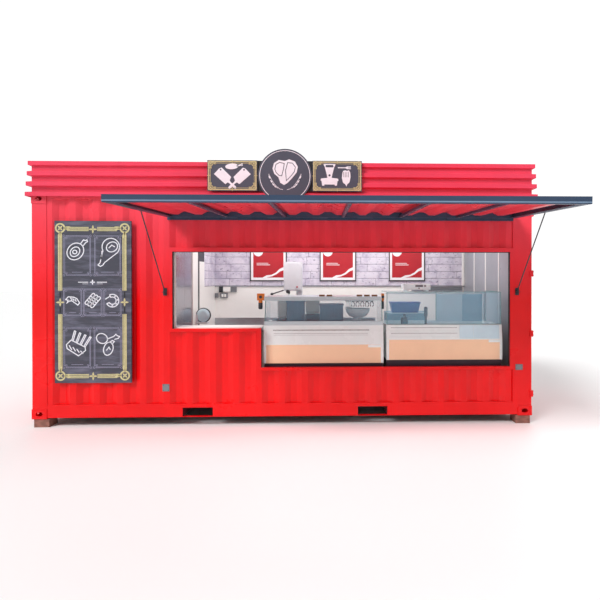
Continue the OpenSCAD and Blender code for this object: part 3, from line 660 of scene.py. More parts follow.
def chalk_ham(draw):
    draw(oval(-0.15, -0.15, 0.78, 0.66, 48), True)
    draw(oval(-0.18, -0.18, 0.46, 0.36, 48), True)
    draw(oval(-0.2, -0.2, 0.18, 0.16), True)
    draw([(0.28, 0.5), (0.55, 0.86), (0.7, 0.78), (0.84, 0.86), (0.88, 0.7), (0.72, 0.6), (0.48, 0.3)])


def chalk_chop(draw):
    head = arc(0.22, 0.38, 0.6, -62, 205, 18)
    draw(head + [(-0.52, -0.72), (-0.66, -0.88), (-0.5, -0.98), (-0.34, -0.9), (-0.2, -0.7)], True)
    draw(oval(0.3, 0.38, 0.4, 0.33, 30), True)
    draw([(0.08, 0.3), (0.28, 0.5), (0.5, 0.38)])
    draw([(-0.38, 0.1), (-0.46, -0.5)])


def chalk_wings(draw):
    draw([(-0.95, 0.15), (-0.6, 0.55), (0.1, 0.5), (0.55, 0.32), (0.95, -0.3), (0.7, -0.6), (0.3, -0.3),
          (-0.1, 0.0), (-0.5, -0.05), (-0.8, -0.35), (-0.62, 0.08)], True)
    for k in range(3):
        draw([(-0.3 + 0.3 * k, 0.42 - 0.1 * k), (-0.1 + 0.3 * k, 0.12 - 0.12 * k)])


def chalk_sausages(draw):
    for k in (-1, 0, 1):
        u, v = 0.34 * k, -0.2 * k
        draw(capsule(-0.42 + u, -0.5 + v, 0.42 + u, 0.5 + v, 0.17), True)
        for step in (-0.25, 0.0, 0.25):
            draw([(step * 0.84 + u - 0.1, step + v + 0.08), (step * 0.84 + u + 0.08, step + v - 0.08)])


def chalk_ring(draw):
    draw(arc(0, 0, 0.86, -150, 115, 24) + arc(0, 0, 0.5, 115, -150, 18), True)
    draw([(-0.95, 0.2), (-0.3, 0.62)])
    for angle in (-100, -50, 0, 50):
        draw(arc(0, 0, 0.68, angle, angle + 18, 3))


def chalk_ribs(draw):
    draw([(-0.8, -0.1), (-0.45, 0.25), (0.6, -0.3), (0.62, -0.55), (0.1, -0.95), (-0.75, -0.4)], True)
    for k in range(4):
        u, v = -0.4 + 0.3 * k, 0.22 - 0.15 * k
        draw([(u, v), (u + 0.2 + 0.08 * k, v + 0.72), (u + 0.3 + 0.08 * k, v + 0.68), (u + 0.1, v - 0.04)])
    for k in range(4):
        draw([(-0.6 + 0.28 * k, -0.15 - 0.14 * k), (-0.4 + 0.28 * k, -0.5 - 0.1 * k)])


def chalk_legs(draw):
    draw(oval(-0.42, 0.35, 0.42, 0.36, -30), True)
    draw([(-0.05, 0.3), (0.45, 0.5), (0.6, 0.66), (0.72, 0.55), (0.88, 0.5), (0.8, 0.36), (0.5, 0.28)])
    draw(oval(0.05, -0.42, 0.34, 0.5, -18), True)
    draw([(0.1, 0.05), (0.35, 0.2), (0.5, 0.12), (0.3, -0.1)])
    draw([(-0.1, -0.55), (0.1, -0.3), (0.2, -0.5)])


class SHOP_OT_menu_board(bpy.types.Operator):
    """Draw the gold border, the chalk frames and the chalk pictures on the menu board"""
    bl_idname = "shop.menu_board"
    bl_label = "Menu board"

    def execute(self, context):
        sizes = context.scene.shop_sizes
        low, high = span("menu_board")
        wide, tall = high.x - low.x, high.z - low.z
        face = front_face(low.x, low.y, low.z)
        relief, stroke = sizes.relief / MM, sizes.chalk_line / MM

        def u(part):
            return part * wide

        def v(part):
            return (1 - part) * tall

        gold = Shape()
        for mirror in (False, True):
            for inner, outer in ((42, 60), (64, 76), (81, 90)):
                a, b = (inner, outer) if not mirror else (wide - outer - 14, wide - inner - 14)
                for top, bottom in ((0.085, 0.43), (0.575, 0.915)):
                    gold.bars(face, [(a, v(bottom), b, v(top))], relief)
        for first in (0.038, 0.945):
            for offset, size in ((0, 10), (17, 14), (38, 10)):
                for a, b in ((0.165, 0.445), (0.555, 0.815)):
                    gold.bars(face, [(u(a), v(first) - offset - size, u(b), v(first) - offset)], relief)
        for a, right in ((0.075, 1), (0.915, -1)):
            for b, up in ((0.045, -1), (0.955, 1)):
                corner_rose(gold, face, u(a), v(b), 62, right, up, relief + 0.6)
        for a, b in ((0.5, 0.052), (0.5, 0.958), (0.073, 0.502), (0.912, 0.502)):
            rosette(gold, face, u(a), v(b), 50, relief + 0.6)
        gold.piece("menu_gold_border", "chalkboard", "gold")

        sheets("menu_dark_slots", "chalkboard", "black", face,
               [(u(a) - 9, v(b) - 34, u(a) + 9, v(b) + 34) for a in (0.073, 0.912) for b in (0.455, 0.55)],
               relief * 0.6)

        frames = Shape()
        pictures = Shape()
        cells = [
            ((0.122, 0.468, 0.092, 0.335), chalk_ham, 138, 0.02),
            ((0.522, 0.862, 0.092, 0.335), chalk_chop, 172, 0.0),
            ((0.118, 0.352, 0.42, 0.584), chalk_wings, 86, 0.0),
            ((0.376, 0.616, 0.42, 0.584), chalk_sausages, 98, 0.0),
            ((0.64, 0.866, 0.42, 0.584), chalk_ring, 88, 0.0),
            ((0.118, 0.466, 0.66, 0.905), chalk_ribs, 158, 0.01),
            ((0.513, 0.866, 0.66, 0.905), chalk_legs, 160, 0.01),
        ]
        for (left, right, top, bottom), picture, size, lift in cells:
            notch = 26 if bottom - top > 0.2 else 18
            u0, v0, u1, v1 = u(left), v(bottom), u(right), v(top)
            frames.line(face, notched(u0, v0, u1, v1, notch), 6, relief * 0.5, closed=True)
            frames.line(face, notched(u0 + 12, v0 + 12, u1 - 12, v1 - 12, notch), 3, relief * 0.5, True)
            for cu, cv in ((u0, v0), (u1, v0), (u0, v1), (u1, v1)):
                frames.line(face, oval(cu, cv, 11, 11, steps=10), 4, relief * 0.5, closed=True)
            cu, cv = (u0 + u1) / 2, (v0 + v1) / 2 + size * 0.22 + lift * tall

            def draw(points, closed=False):
                pictures.line(face, moved(points, cu, cv, size), stroke, relief, closed)

            picture(draw)
            frames.bars(face, [(cu - size * 0.45, v0 + 34, cu + size * 0.45, v0 + 39)], relief * 0.5)
        middle = v(0.378)
        rosette(pictures, face, u(0.494), middle, 34, relief)
        for side in (-1, 1):
            near, far = u(0.494) + side * 52, u(0.494) + side * 170
            pictures.line(face, [(near, middle), (far, middle)], 9, relief)
            pictures.line(face, [(near, middle - 20), (far - side * 50, middle - 20)], 4, relief)
        frames.piece("menu_chalk_frames", "chalkboard", "faint")
        pictures.piece("menu_chalk_pictures", "chalkboard", "chalk")
        return {"FINISHED"}


# ---------------------------------------------------------------- signs

CLEAVER = [(-7, -95), (-13, -78), (-8, -20), (-12, 0), (-40, 6), (-44, 150), (30, 150), (52, 138),
           (48, 12), (14, 0), (9, -20), (13, -78), (7, -95)]
SCALE_HEAD = [(-72, 210), (-62, 226), (62, 226), (72, 210), (58, 186), (32, 88), (26, 54), (-26, 54),
              (-32, 88), (-58, 186)]
SCALE_BASE = [(-84, 48), (-102, 44), (-108, 24), (-96, 14), (-88, -40), (-62, -40), (-62, -26),
              (62, -26), (62, -40), (88, -40), (96, 14), (108, 24), (102, 44), (84, 48), (26, 54),
              (-26, 54)]
FORK = [(-70, 6), (-70, -6), (20, -5), (42, -16), (86, -16), (86, -8), (50, -6), (50, -3), (86, -3),
        (86, 3), (50, 3), (50, 6), (86, 8), (86, 16), (42, 16), (20, 5)]
JOINT = [(-44, 70), (-34, 96), (-10, 104), (10, 96), (34, 104), (50, 80), (54, 20), (42, -40), (14, -66),
         (6, -92), (-8, -66), (-36, -44), (-50, 10)]
T_BONE = [(-118, 40), (-104, 92), (-58, 122), (0, 112), (40, 128), (96, 108), (124, 56), (112, 2),
          (70, -50), (28, -96), (-8, -118), (-44, -96), (-62, -44), (-102, -10)]
# The two muscles on either side of the T-bone
MUSCLES = [[(-96, 34), (-86, 78), (-50, 98), (-6, 88), (-14, 34), (-30, -30), (-56, -26), (-84, 2)],
           [(26, 96), (72, 92), (100, 54), (90, 10), (54, -36), (14, -76), (6, 20)]]


def sign_border(shape, face, wide, tall, relief):
    """Double gold lines with roses in the corners."""
    for inset, width in ((16, 15), (36, 5)):
        shape.line(face, corners(inset, inset, wide - inset, tall - inset), width, relief, closed=True)
    for u, right in ((38, 1), (wide - 38, -1)):
        for v, up in ((38, 1), (tall - 38, -1)):
            corner_rose(shape, face, u, v, 34, right, up, relief + 1)
    for u, v in ((wide / 2, 16), (wide / 2, tall - 16), (16, tall / 2), (wide - 16, tall / 2)):
        rosette(shape, face, u, v, 20, relief + 1)


class SHOP_OT_signs(bpy.types.Operator):
    """Put the borders and pictures on the three signs"""
    bl_idname = "shop.signs"
    bl_label = "Signs"

    def execute(self, context):
        relief = context.scene.shop_sizes.relief / MM
        low, high = span("sign_boards")
        back_low, back_high = span("sign_backing")
        across = high.z - low.z
        gap, step = 8, 6
        wide = (high.x - low.x - across) / 2 - gap
        tall = back_high.z - back_low.z
        left = front_face(low.x, low.y + step, back_low.z)
        right = front_face(high.x - wide, low.y + step, back_low.z)
        disc = front_face((low.x + high.x) / 2, low.y, (low.z + high.z) / 2)

        gold = Shape()
        for face in (left, right):
            sign_border(gold, face, wide, tall, relief)
        gold.piece("sign_gold_borders", "sign_charcoal", "gold")

        white = Shape()
        middle = wide / 2
        scale_at, joint_at, ham_at = (middle - 92, 108), (middle + 106, 150), (middle - 6, 292)
        white.plate(left, moved(CLEAVER, middle - 44, 112, 1.25, 47), relief)
        white.plate(left, moved(flipped(CLEAVER), middle + 44, 112, 1.25, -47), relief + 0.4)
        white.plate(left, moved(oval(0, 0, 78, 34, 4), *ham_at), relief)
        white.plate(left, moved(capsule(66, 6, 112, 20, 9), *ham_at), relief)
        for side in (-1, 1):
            white.plate(left, moved(oval(120, 22 + side * 8, 10, 9), *ham_at), relief)
        white.plate(right, moved(SCALE_HEAD, *scale_at), relief)
        white.plate(right, moved(SCALE_BASE, *scale_at), relief)
        white.plate(right, moved(FORK, middle + 78, 284), relief)
        white.plate(right, moved(JOINT, *joint_at), relief)
        reach = across / 2
        white.line(disc, oval(0, 0, reach - 22, reach - 22, steps=72), 7, relief, closed=True)
        white.plate(disc, moved(T_BONE, 0, 36, 1.25), relief)
        for side in (-1, 1):
            for k in range(5):
                white.plate(disc, moved(petal(46, 17), side * (70 + 26 * k), -150 + 7 * k * k, 1,
                                        (90 - side * (62 - 9 * k))), relief)
            white.line(disc, [(side * (24 + 34 * k), -166 + 7.5 * k * k) for k in range(6)], 5, relief)
        white.piece("sign_white_pictures", "sign_charcoal", "sign_white")

        slate = Shape()
        for muscle in MUSCLES:
            slate.line(disc, moved(muscle, 0, 36, 1.25), 8, relief + 0.8, closed=True)
        slate.plate(right, moved([(-50, 190), (-42, 208), (42, 208), (50, 190), (38, 180), (-38, 180)],
                                 *scale_at), relief + 0.8)
        slate.plate(right, moved(oval(0, 84, 13, 13), *scale_at), relief + 0.8)
        for k in range(4):
            slate.line(right, moved([(-30 + 20 * k, 84), (-26 + 18 * k, 20)], *joint_at), 5, relief + 0.8)
        for side in (-1, 1):
            slate.plate(left, moved(oval(-30 * side, 132, 8, 8), middle + side * 44, 112, 1.25, -47 * side),
                        relief + 1.2)
        slate.piece("sign_slate_details", "sign_charcoal", "charcoal")
        return {"FINISHED"}


# ---------------------------------------------------------------- rear lining


class SHOP_OT_posters(bpy.types.Operator):
    """Frame the three posters and print their red fields"""
    bl_idname = "shop.posters"
    bl_label = "Posters"

    def execute(self, context):
        low, high = span("posters")
        wide, tall, count = 604, high.z - low.z, 3
        step = (high.x - low.x - wide) / (count - 1)
        frames, fields, marks = Shape(), Shape(), Shape()
        for k in range(count):
            face = front_face(low.x + k * step, low.y, low.z)
            frames.line(face, corners(8, 8, wide - 8, tall - 8), 16, 7, True)
            wave = [(wide - 54, 230), (wide - 120, 200), (wide - 180, 140), (wide - 250, 104),
                    (wide - 330, 96), (wide - 400, 58)]
            fields.plate(face, [(54, 58), (54, tall - 58), (wide - 54, tall - 58)] + wave, 1)
            fields.plate(face, [(wide - 54, 180), (wide - 54, 58), (wide - 330, 58), (wide - 250, 76),
                                (wide - 170, 112), (wide - 110, 160)], 1)
            marks.plate(face, oval(136, 487, 80, 80), 2)
            marks.bars(face, [(110, 262, 330, 272), (110, 290, 300, 298), (250, 500, 500, 512),
                              (290, 474, 500, 482)], 1.6)
        frames.piece("poster_frames", "poster_print", "black")
        fields.piece("poster_fields", "poster_print", "print")
        marks.piece("poster_marks", "poster_print", "paper")
        return {"FINISHED"}


def lay_stones(shape, face, wide, tall, course, joint, chance):
    """Stones in courses: lengths differ, faces stand out by different amounts, edges are chipped."""
    v = 0.0
    while v < tall - joint:
        top = min(tall, v + course)
        u = -chance.uniform(0.0, 200.0)
        while u < wide:
            end = u + chance.uniform(190.0, 430.0)
            a, b = max(0.0, u) + joint / 2, min(wide, end) - joint / 2
            if b - a > 12:
                out = chance.uniform(5.0, 11.0)
                low, high = v + joint / 2, top - joint / 2
                cut = min(chance.uniform(4.0, 9.0), (high - low) / 4)
                foot = corners(a, low, b, high)
                crown = corners(a + cut, low + cut, b - cut, high - cut)
                drift = [out + chance.uniform(-2.0, 2.0) for _ in crown]
                shape.hull_of([[face.place(x, y, -0.4) for x, y in foot],
                               [face.place(x, y, out * 0.6) for x, y in foot],
                               [face.place(x, y, w) for (x, y), w in zip(crown, drift)]])
            u = end
        v = top


class SHOP_OT_stone_panel(bpy.types.Operator):
    """Lay the stone veneer of the rear wall and its return on the left partition"""
    bl_idname = "shop.stone_panel"
    bl_label = "Stone panel"

    def execute(self, context):
        sizes = context.scene.shop_sizes
        course, joint = sizes.course / MM, sizes.joint / MM
        low, high = span("rear_lining_stone")
        part = span("left_partition")[1]
        start = 1517
        chance = random.Random(11)
        stones = Shape()
        rear = front_face(part.x, low.y, low.z)
        lay_stones(stones, rear, span("right_lining")[0].x - part.x, high.z - low.z, course, joint, chance)
        side = side_face(part.x, start, low.z)
        lay_stones(stones, side, part.y - start - 12, high.z - low.z, course, joint, chance)
        stones.piece("stone_veneer", "stone_panel", "stone")
        bed = Shape()
        bed.plate(side, corners(0, 0, part.y - start, high.z - low.z), 2)
        bed.piece("stone_bed", "stone_panel", "mortar")
        boxes("stone_edge_trim", "lining_white", "panel",
              [((part.x, low.y - 14, low.z - 14), (span("right_lining")[0].x, low.y, low.z - 1))])
        return {"FINISHED"}


class SHOP_OT_wall_fittings(bpy.types.Operator):
    """Fit the sockets, the rail and the corner trim on the inside walls"""
    bl_idname = "shop.wall_fittings"
    bl_label = "Wall fittings"

    def execute(self, context):
        wall = span("rear_lining_white")[0].y
        right, left = span("right_lining")[0].x, span("left_partition")[1].x
        boxes("socket_boxes", "grey_plate", "plate",
              [((x0, wall - 34, z0), (x1, wall, z1), 6) for x0, z0, x1, z1 in
               ((left + 4, 1365, 1758, 1440), (1960, 1462, 2058, 1545), (1790, 1362, 1912, 1440))], 3)
        boxes("socket_covers", "lining_white", "white",
              [((x0, wall - 38, z0), (x1, wall - 2, z1), 4) for x0, z0, x1, z1 in
               ((1838, 1466, 1958, 1540), (1812, 1378, 1846, 1424), (1856, 1378, 1890, 1424))], 2)
        switch = Shape()
        switch.block((1772, wall - 44, 1452), (1834, wall, 1552), 6)
        switch.bars(front_face(0, wall, 0), [(1790, 1480, 1816, 1524)], 50)
        switch.piece("switch_box", "dark_fittings", "dark", soft=3)
        boxes("rear_tool_rail", "grey_plate", "plate",
              [((4950, wall - 36, 1478), (right - 40, wall, 1542), 4)], 2)
        trims = [((right - 42, wall - 42, 1561), (right, wall - 12, ROOM_TOP), 5)]
        trims += [((right - 5, y - 16, ROOM_FLOOR), (right, y + 16, ROOM_TOP)) for y in (560, 1130, 1700)]
        boxes("right_lining_trims", "lining_white", "white", trims)

        # The partition's cladding, from the front: steel, a post, a dark strip and a white field
        side, tall = side_face(left, 54, ROOM_FLOOR), ROOM_TOP - ROOM_FLOOR
        for name, slot, finish, rects in (
                ("partition_steel", "stainless", "mirror", [(2, 0, 370, tall, 3), (374, 0, 750, tall, 3)]),
                ("partition_post", "partition_white", "white", [(756, 0, 1034, tall, 14),
                                                               (1155, 0, 1460, tall - 640, 8)]),
                ("partition_dark_strip", "dark_fittings", "dark", [(1036, 0, 1153, tall, 6),
                                                                  (1155, tall - 638, 1460, tall, 6)])):
            sheet = Shape()
            for *rect, height in rects:
                sheet.bars(side, [rect], height)
            sheet.piece(name, slot, finish)

        hub = at(left + 112, 1000, 1171)
        for name, slot, finish, profile in (
                ("slicer_guard", "case_glass", "ice",
                 [(20, -52), (70, -44), (92, -22), (97, 0), (92, 26), (60, 44), (15, 50)]),
                ("slicer_rim", "dark_fittings", "dark",
                 [(96, -16), (102, -14), (104, 4), (102, 20), (96, 22)])):
            disc = Shape()
            disc.turned(hub, profile, 48, "Y")
            disc.piece(name, slot, finish)
        boxes("slicer_foot", "machine_white", "machine",
              [((left + 12, 930, 1058), (left + 180, 1075, 1078), 10),
               ((left + 12, 960, 1070), (left + 40, 1045, 1180), 6)], 3)
        return {"FINISHED"}


# ---------------------------------------------------------------- display cases

# The case fronts stand CASE_FRONT behind the container's and lean back by CASE_BACK at CASE_TOP
CASE_FRONT, CASE_BACK, CASE_TOP = 100, 26, 1110
CASE_LEAN = math.atan2(CASE_BACK, 242)
# Heights at which the left and the right case begin to lean, and of the trays' steel floor
LEFT_FOOT, RIGHT_FOOT, TRAY = 868, 925, 1003


def slope(z, foot):
    """Distance of a case's leaning front from the container's front at a height."""
    return CASE_FRONT + CASE_BACK * (z - foot) / (CASE_TOP - foot)


def case_face(x, z, foot, forward=0.0):
    """A face on a case's leaning front, from this height up."""
    up = (0, math.sin(CASE_LEAN), math.cos(CASE_LEAN))
    return Face(at(x, slope(z, foot) + forward, z), (1, 0, 0), up)


def slots(x0, x1, z, foot, count, width):
    """One row of air slots on a leaning case front."""
    y = slope(z, foot) - 0.4
    return fasteners(at(x0, y, z), at(x1, y, z), count, width, 2, (math.pi / 2 - CASE_LEAN, 0.0, 0.0),
                     Sides=8, Stretch=(1.0, 1.5, 1.0))


class SHOP_OT_left_case(bpy.types.Operator):
    """Fit out the left display case with its steel edge, slots, trays, crates, bowl and hooks"""
    bl_idname = "shop.left_case"
    bl_label = "Left case"

    def execute(self, context):
        canopy_low, canopy_high = span("case_canopy")
        x0, x1 = canopy_low.x + 10, canopy_high.x + 8
        boxes("left_case_steel", "stainless", "steel",
              [((x0 + 3, 122, 1106), (x1 - 3, 129, 1156)),
               ((x0 + 36, 160, 995), (x1 - 36, 815, TRAY)),
               ((x0 + 40, 770, CASE_TOP), (x1 - 40, 790, 1150)),
               ((canopy_low.x + 2, canopy_low.y - 6, canopy_low.z + 2),
                (canopy_high.x - 2, canopy_low.y + 1, canopy_low.z + 16), 2)], 1.2)
        # The air slots are near-black discs of painted shade, not openings
        rows("left_case_slots", "painted_shade",
             [slots(x0 + 122, x0 + 1298, 1046, LEFT_FOOT, 84, 9.5)])
        sheets("left_case_seams", "case_white", "plate", case_face(x0, 1004, LEFT_FOOT, -0.2),
               [(124, 0, 1290, 3), (124, -20, 1290, -18)], 0.8)
        edges = Shape()
        top = canopy_low.z
        for x in (x0 + 10, x1 - 10):
            edges.rod([at(x, 132, 1112), at(x, 132 + 0.36 * (top - CASE_TOP), top)], 4.5, 4)
        edges.rod([at(x0 + 10, 132, 1112), at(x1 - 10, 132, 1112)], 4, 4)
        edges.piece("left_case_glass_edges", "case_glass", "edge")

        crates = Shape()
        for a, b, y, z in ((x0 + 257, x0 + 487, 480, 1392), (x0 + 687, x0 + 993, 470, 1352)):
            crates.stack([(a - w, y - w, b + w, y + 190 + w, h)
                          for w, h in ((0, TRAY), (0, z - 22), (8, z - 20), (8, z))])
            for k in range(1, 5):
                x = a + (b - a) * k / 5
                crates.block((x - 4, y - 5, 1180), (x + 4, y + 1, z - 30))
        crates.piece("left_case_crates", "case_white", "crate", soft=3)
        tubs = Shape()
        for a, b, z, lift in ((x0 + 134, x0 + 250, 1398, 1150), (x0 + 500, x0 + 682, 1398, 1216)):
            tubs.stack([(a + 14, 560, b - 14, 690, lift), (a, 540, b, 700, lift + 36), (a, 540, b, 700, z)])
        tubs.piece("left_case_tubs", "case_white", "cream", soft=8)
        boxes("left_case_stands", "stainless", "plinth",
              [((x0 + 120, 530, TRAY), (x0 + 262, 700, 1152)),
               ((x0 + 494, 530, TRAY), (x0 + 686, 700, 1212))], 3)

        bowl = Shape()
        bowl.turned(at(x0 + 1185, 520, TRAY),
                    [(70, 0), (66, 150), (60, 168), (110, 190), (148, 236), (160, 288), (152, 288),
                     (138, 236), (90, 206), (12, 200)], 48)
        bowl.piece("left_case_bowl", "case_white", "case")
        hooks = Shape()
        bar = 1392
        hooks.rod([at(x0 + 1020, 470, bar), at(x1 - 90, 470, bar)], 7, 12)
        for k in range(5):
            x = x0 + 1120 + 62 * k
            loop = [at(x + r * math.sin(t), 470, bar - 44 - r * 1.5 * math.cos(t))
                    for r, t in ((22, 2 * math.pi * j / 14 + 0.4) for j in range(13))]
            hooks.rod(loop, 6, 8)
        hooks.piece("left_case_hooks", "dark_fittings", "dark")
        tools = [((x0 + 1036 + 30 * k, 462, bar - drop), (x0 + 1050 + 30 * k, 474, bar + 6), 3)
                 for k, drop in enumerate((40, 62, 50))]
        tools.append(((x0 + 1022, 458, bar - 92), (x0 + 1106, 476, bar - 74), 4))
        boxes("left_case_tools", "case_white", "case", tools, 2)

        sleeves = Shape()
        for x, r in ((canopy_low.x - 50, 27), (canopy_high.x + 17, 18)):
            y = canopy_low.y + 45
            sleeves.turned(at(x, y, 1303), [(r * 0.55, -6), (r * 0.9, -2), (r, 10), (r, 70), (r * 0.85, 84),
                                            (r * 0.9, 92)], 32)
        for x in (canopy_low.x - 46, canopy_high.x + 16):
            sleeves.turned(at(x, canopy_low.y + 10, 1452), [(19, -1), (19, 4), (12, 7), (4, 7)], 24, "Y")
        sleeves.piece("clamp_knobs", "dark_fittings", "dark")
        boxes("canopy_wood_blocks", "block_timber", "wood",
              [((x0 + x, canopy_low.y + 60, canopy_high.z - 1),
                (x0 + x + 72, canopy_low.y + 110, canopy_high.z + 22), 8)
               for x in (680, 776, 1160, 1256, 1352)], 4)
        sheets("case_blank_labels", "case_white", "case", front_face(0, CASE_FRONT, 0),
               [(x1 - 190, 832, x1 - 34, 866), (x1 + 1316, 890, x1 + 1456, 923)], 1.5)
        return {"FINISHED"}


class SHOP_OT_right_case(bpy.types.Operator):
    """Fit out the right display case with its slots, glass edges, slide doors, shelf and crate"""
    bl_idname = "shop.right_case"
    bl_label = "Right case"

    def execute(self, context):
        high = span("case_glass")[1]
        x0, x1, top = span("case_canopy")[1].x + 46, high.x + 6, high.z
        rows("right_case_slots", "plate",
             [slots(x0 + 62, x0 + 880, z, RIGHT_FOOT, 66, 7) for z in (1074, 1004)])
        boxes("right_case_lips", "case_white", "case",
              [((x0 + 34, slope(z, RIGHT_FOOT) - 5, z), (x0 + 900, slope(z, RIGHT_FOOT) + 4, z + 9), 2)
               for z in (1092, 1024, 950)])
        sheets("right_case_price_rail", "case_glass", "ice", case_face(x0, 935, RIGHT_FOOT),
               [(915, 0, 1090, 168), (1094, 0, 1414, 168)], 3)
        edges = Shape()
        pane_y = 134
        for x in (x0 + 10, x1 - 10):
            edges.rod([at(x, pane_y, 1112), at(x, pane_y, top - 2)], 4.5, 4)
            edges.rod([at(x, pane_y, top - 4), at(x, 758, top - 4)], 4, 4)
        for z in (1114, top - 4):
            edges.rod([at(x0 + 10, pane_y, z), at(x1 - 10, pane_y, z)], 4.5, 4)
        edges.rod([at(x0 + 745, 700, 1112), at(x0 + 745, 700, top - 6)], 5, 4)
        edges.piece("right_case_glass_edges", "case_glass", "edge")
        boxes("right_case_slide_door", "case_glass", "ice",
              [((x0 + 755, 720, 1100), (x0 + 1110, 728, top - 50)),
               ((x0 + 60, 500, 1222), (x0 + 600, 740, 1230))], 1)
        boxes("right_case_rear_door", "case_glass", "haze",
              [((x0 + 1100, 732, 1100), (x1 - 60, 740, top - 50)),
               ((x0 + 44, 770, 1112), (x0 + 630, 778, 1240))], 1)
        boxes("right_case_steel", "stainless", "steel",
              [((x1 - 52, 706, 1105), (x1 - 16, 716, top - 20), 3),
               ((x0 + 60, 700, top - 46), (x1 - 60, 716, top - 34)),
               ((x0 + 34, 160, 995), (x1 - 34, 815, TRAY))], 1)
        crate = Shape()
        crate.stack([(x0 + 110 + w, 540 + w, x0 + 500 - w, 710 - w, z)
                     for w, z in ((22, 1230), (0, 1352), (-8, 1354), (-8, 1372))])
        crate.piece("right_case_crate", "case_glass", "blue", soft=4)
        pots = Shape()
        pots.turned(at(x0 + 270, 420, TRAY),
                    [(40, 0), (46, 120), (40, 170), (16, 196), (18, 214), (4, 220)], 32)
        pots.turned(at(x0 + 560, 470, TRAY), [(16, 0), (16, 180), (24, 190), (24, 300), (8, 312)], 24)
        pots.piece("right_case_pots", "dark_fittings", "plinth")
        scale_low, scale_high = span("scale_display")
        wide = scale_high.x - scale_low.x
        sheets("scale_window", "dark_fittings", "plate", front_face(*scale_low),
               [(wide * 0.44, 56, wide * 0.72, 82), (wide * 0.76, 60, wide * 0.84, 78),
                (wide * 0.55, 32, wide * 0.6, 48)], 1.5)
        return {"FINISHED"}


class SHOP_OT_bone_saw(bpy.types.Operator):
    """Add the bone saw's doors, feed arm, knobs and switch"""
    bl_idname = "shop.bone_saw"
    bl_label = "Bone saw"

    def execute(self, context):
        low, high = span("bone_saw")
        x, y = low.x + 160, low.y + 110
        doors = Shape()
        doors.plate(front_face(x, y, 1500),
                    [(14, 14), (256, 14), (256, 380), (220, 416), (50, 416), (14, 380)], 12)
        doors.bars(front_face(x - 120, y - 60, 190), [(20, 20, 480, 720)], 10)
        doors.piece("bone_saw_doors", "machine_white", "machine", soft=5)
        arm = Shape()
        knob = at(x - 179, y + 50, 1449)
        arm.rod([knob, at(x + 40, y + 44, 1520), at(x + 240, y + 30, 1600)], 9, 12)
        arm.turned(knob, [(6, -20), (20, -14), (24, 0), (20, 14), (6, 20)], 24)
        arm.turned(at(x + 62, y - 22, 1488), [(10, -14), (26, -8), (26, 10), (10, 16)], 24, "Y")
        arm.block((x + 54, y + 132, 1452), (x + 84, y + 166, 1508), 4)
        arm.piece("bone_saw_arm", "dark_fittings", "dark")
        steel = Shape()
        steel.block((x + 286, y - 60, 975), (x + 294, y + 440, 1035), 2)
        steel.rod([at(x + 150, y + 150, high.z - 2), at(x + 150, y + 150, high.z + 14)], 14, 20)
        steel.block((x + 54, y + 120, 975), (x + 84, y + 180, 977.5))
        steel.piece("bone_saw_fence", "stainless", "steel", soft=1)
        switch = Shape()
        switch.turned(at(x + 200, y - 11, 1556), [(13, -2), (13, 6), (10, 10), (3, 11)], 24, "Y")
        switch.piece("bone_saw_switch", "poster_print", "print")
        return {"FINISHED"}


# ---------------------------------------------------------------- flap

HINGE_Y, HINGE_Z, DROOP = -26.0, 2421.0, math.radians(2.56)
FLAP_LONG, FLAP_HIGH, TUBE, TUBE_WALL = 1836, 66, 60, 4
RAFTER_BAYS = 6


def on_flap(x, y, z):
    """A place on the open flap, in millimetres from the left end of its pin line."""
    left = span("flap_skin")[0].x - TUBE - 1
    return at(left + x, HINGE_Y + y * math.cos(DROOP) - z * math.sin(DROOP),
              HINGE_Z + y * math.sin(DROOP) + z * math.cos(DROOP))


class SHOP_OT_flap(bpy.types.Operator):
    """Add the painted ground reflection along the flap's front, its tube plugs and rivets"""
    bl_idname = "shop.flap"
    bl_label = "Flap"

    def execute(self, context):
        low, high = span("flap_skin")
        wide = high.x - low.x + 2 * (TUBE + 1)
        tilt = (0, -math.sin(DROOP), math.cos(DROOP))
        front = Face(on_flap(0, -FLAP_LONG, 0), (1, 0, 0), tilt)
        # Painted reflection: a pale strip that stands for the ground seen in the front tube's lower edge
        sheets("flap_front_line", "flap_steel", "painted_reflection", front, [(0.5, 9, wide - 0.5, 21)], 0.8, "flap")
        plugs = Shape()
        for x in (0, wide - TUBE):
            for y0, y1 in ((-FLAP_LONG + 1, -FLAP_LONG + 12), (-28, -17)):
                ring = corners(x + TUBE_WALL, TUBE_WALL, x + TUBE - TUBE_WALL, FLAP_HIGH - TUBE_WALL)
                plugs.hull_of([[on_flap(a, y, b) for a, b in ring] for y in (y0, y1)])
        plugs.piece("flap_tube_plugs", "flap_steel", "flap", "flap", soft=0.8)
        rafters = [TUBE / 2 + k * (wide - TUBE) / RAFTER_BAYS for k in range(1, RAFTER_BAYS)]
        rows("flap_rivets", "zinc",
             [fasteners(on_flap(x, -FLAP_LONG + 90, -2), on_flap(x, -110, -2),
                        context.scene.shop_sizes.rivets, 12, 5, (DROOP, 0.0, 0.0), Sides=10)
              for x in rafters], "flap")
        angle = Shape()
        for x in (TUBE + 2, wide - TUBE - 2):
            side = 1 if x < wide / 2 else -1
            ring = [(x, 2), (x + side * 26, 2), (x + side * 26, 6), (x + side * 4, 6), (x + side * 4, 24),
                    (x, 24)]
            angle.hull_of([[on_flap(a, y, b) for a, b in ring] for y in (-FLAP_LONG + 62, -80)])
        angle.piece("flap_sheet_angles", "flap_steel", "flap", "flap")
        return {"FINISHED"}


# ---------------------------------------------------------------- container


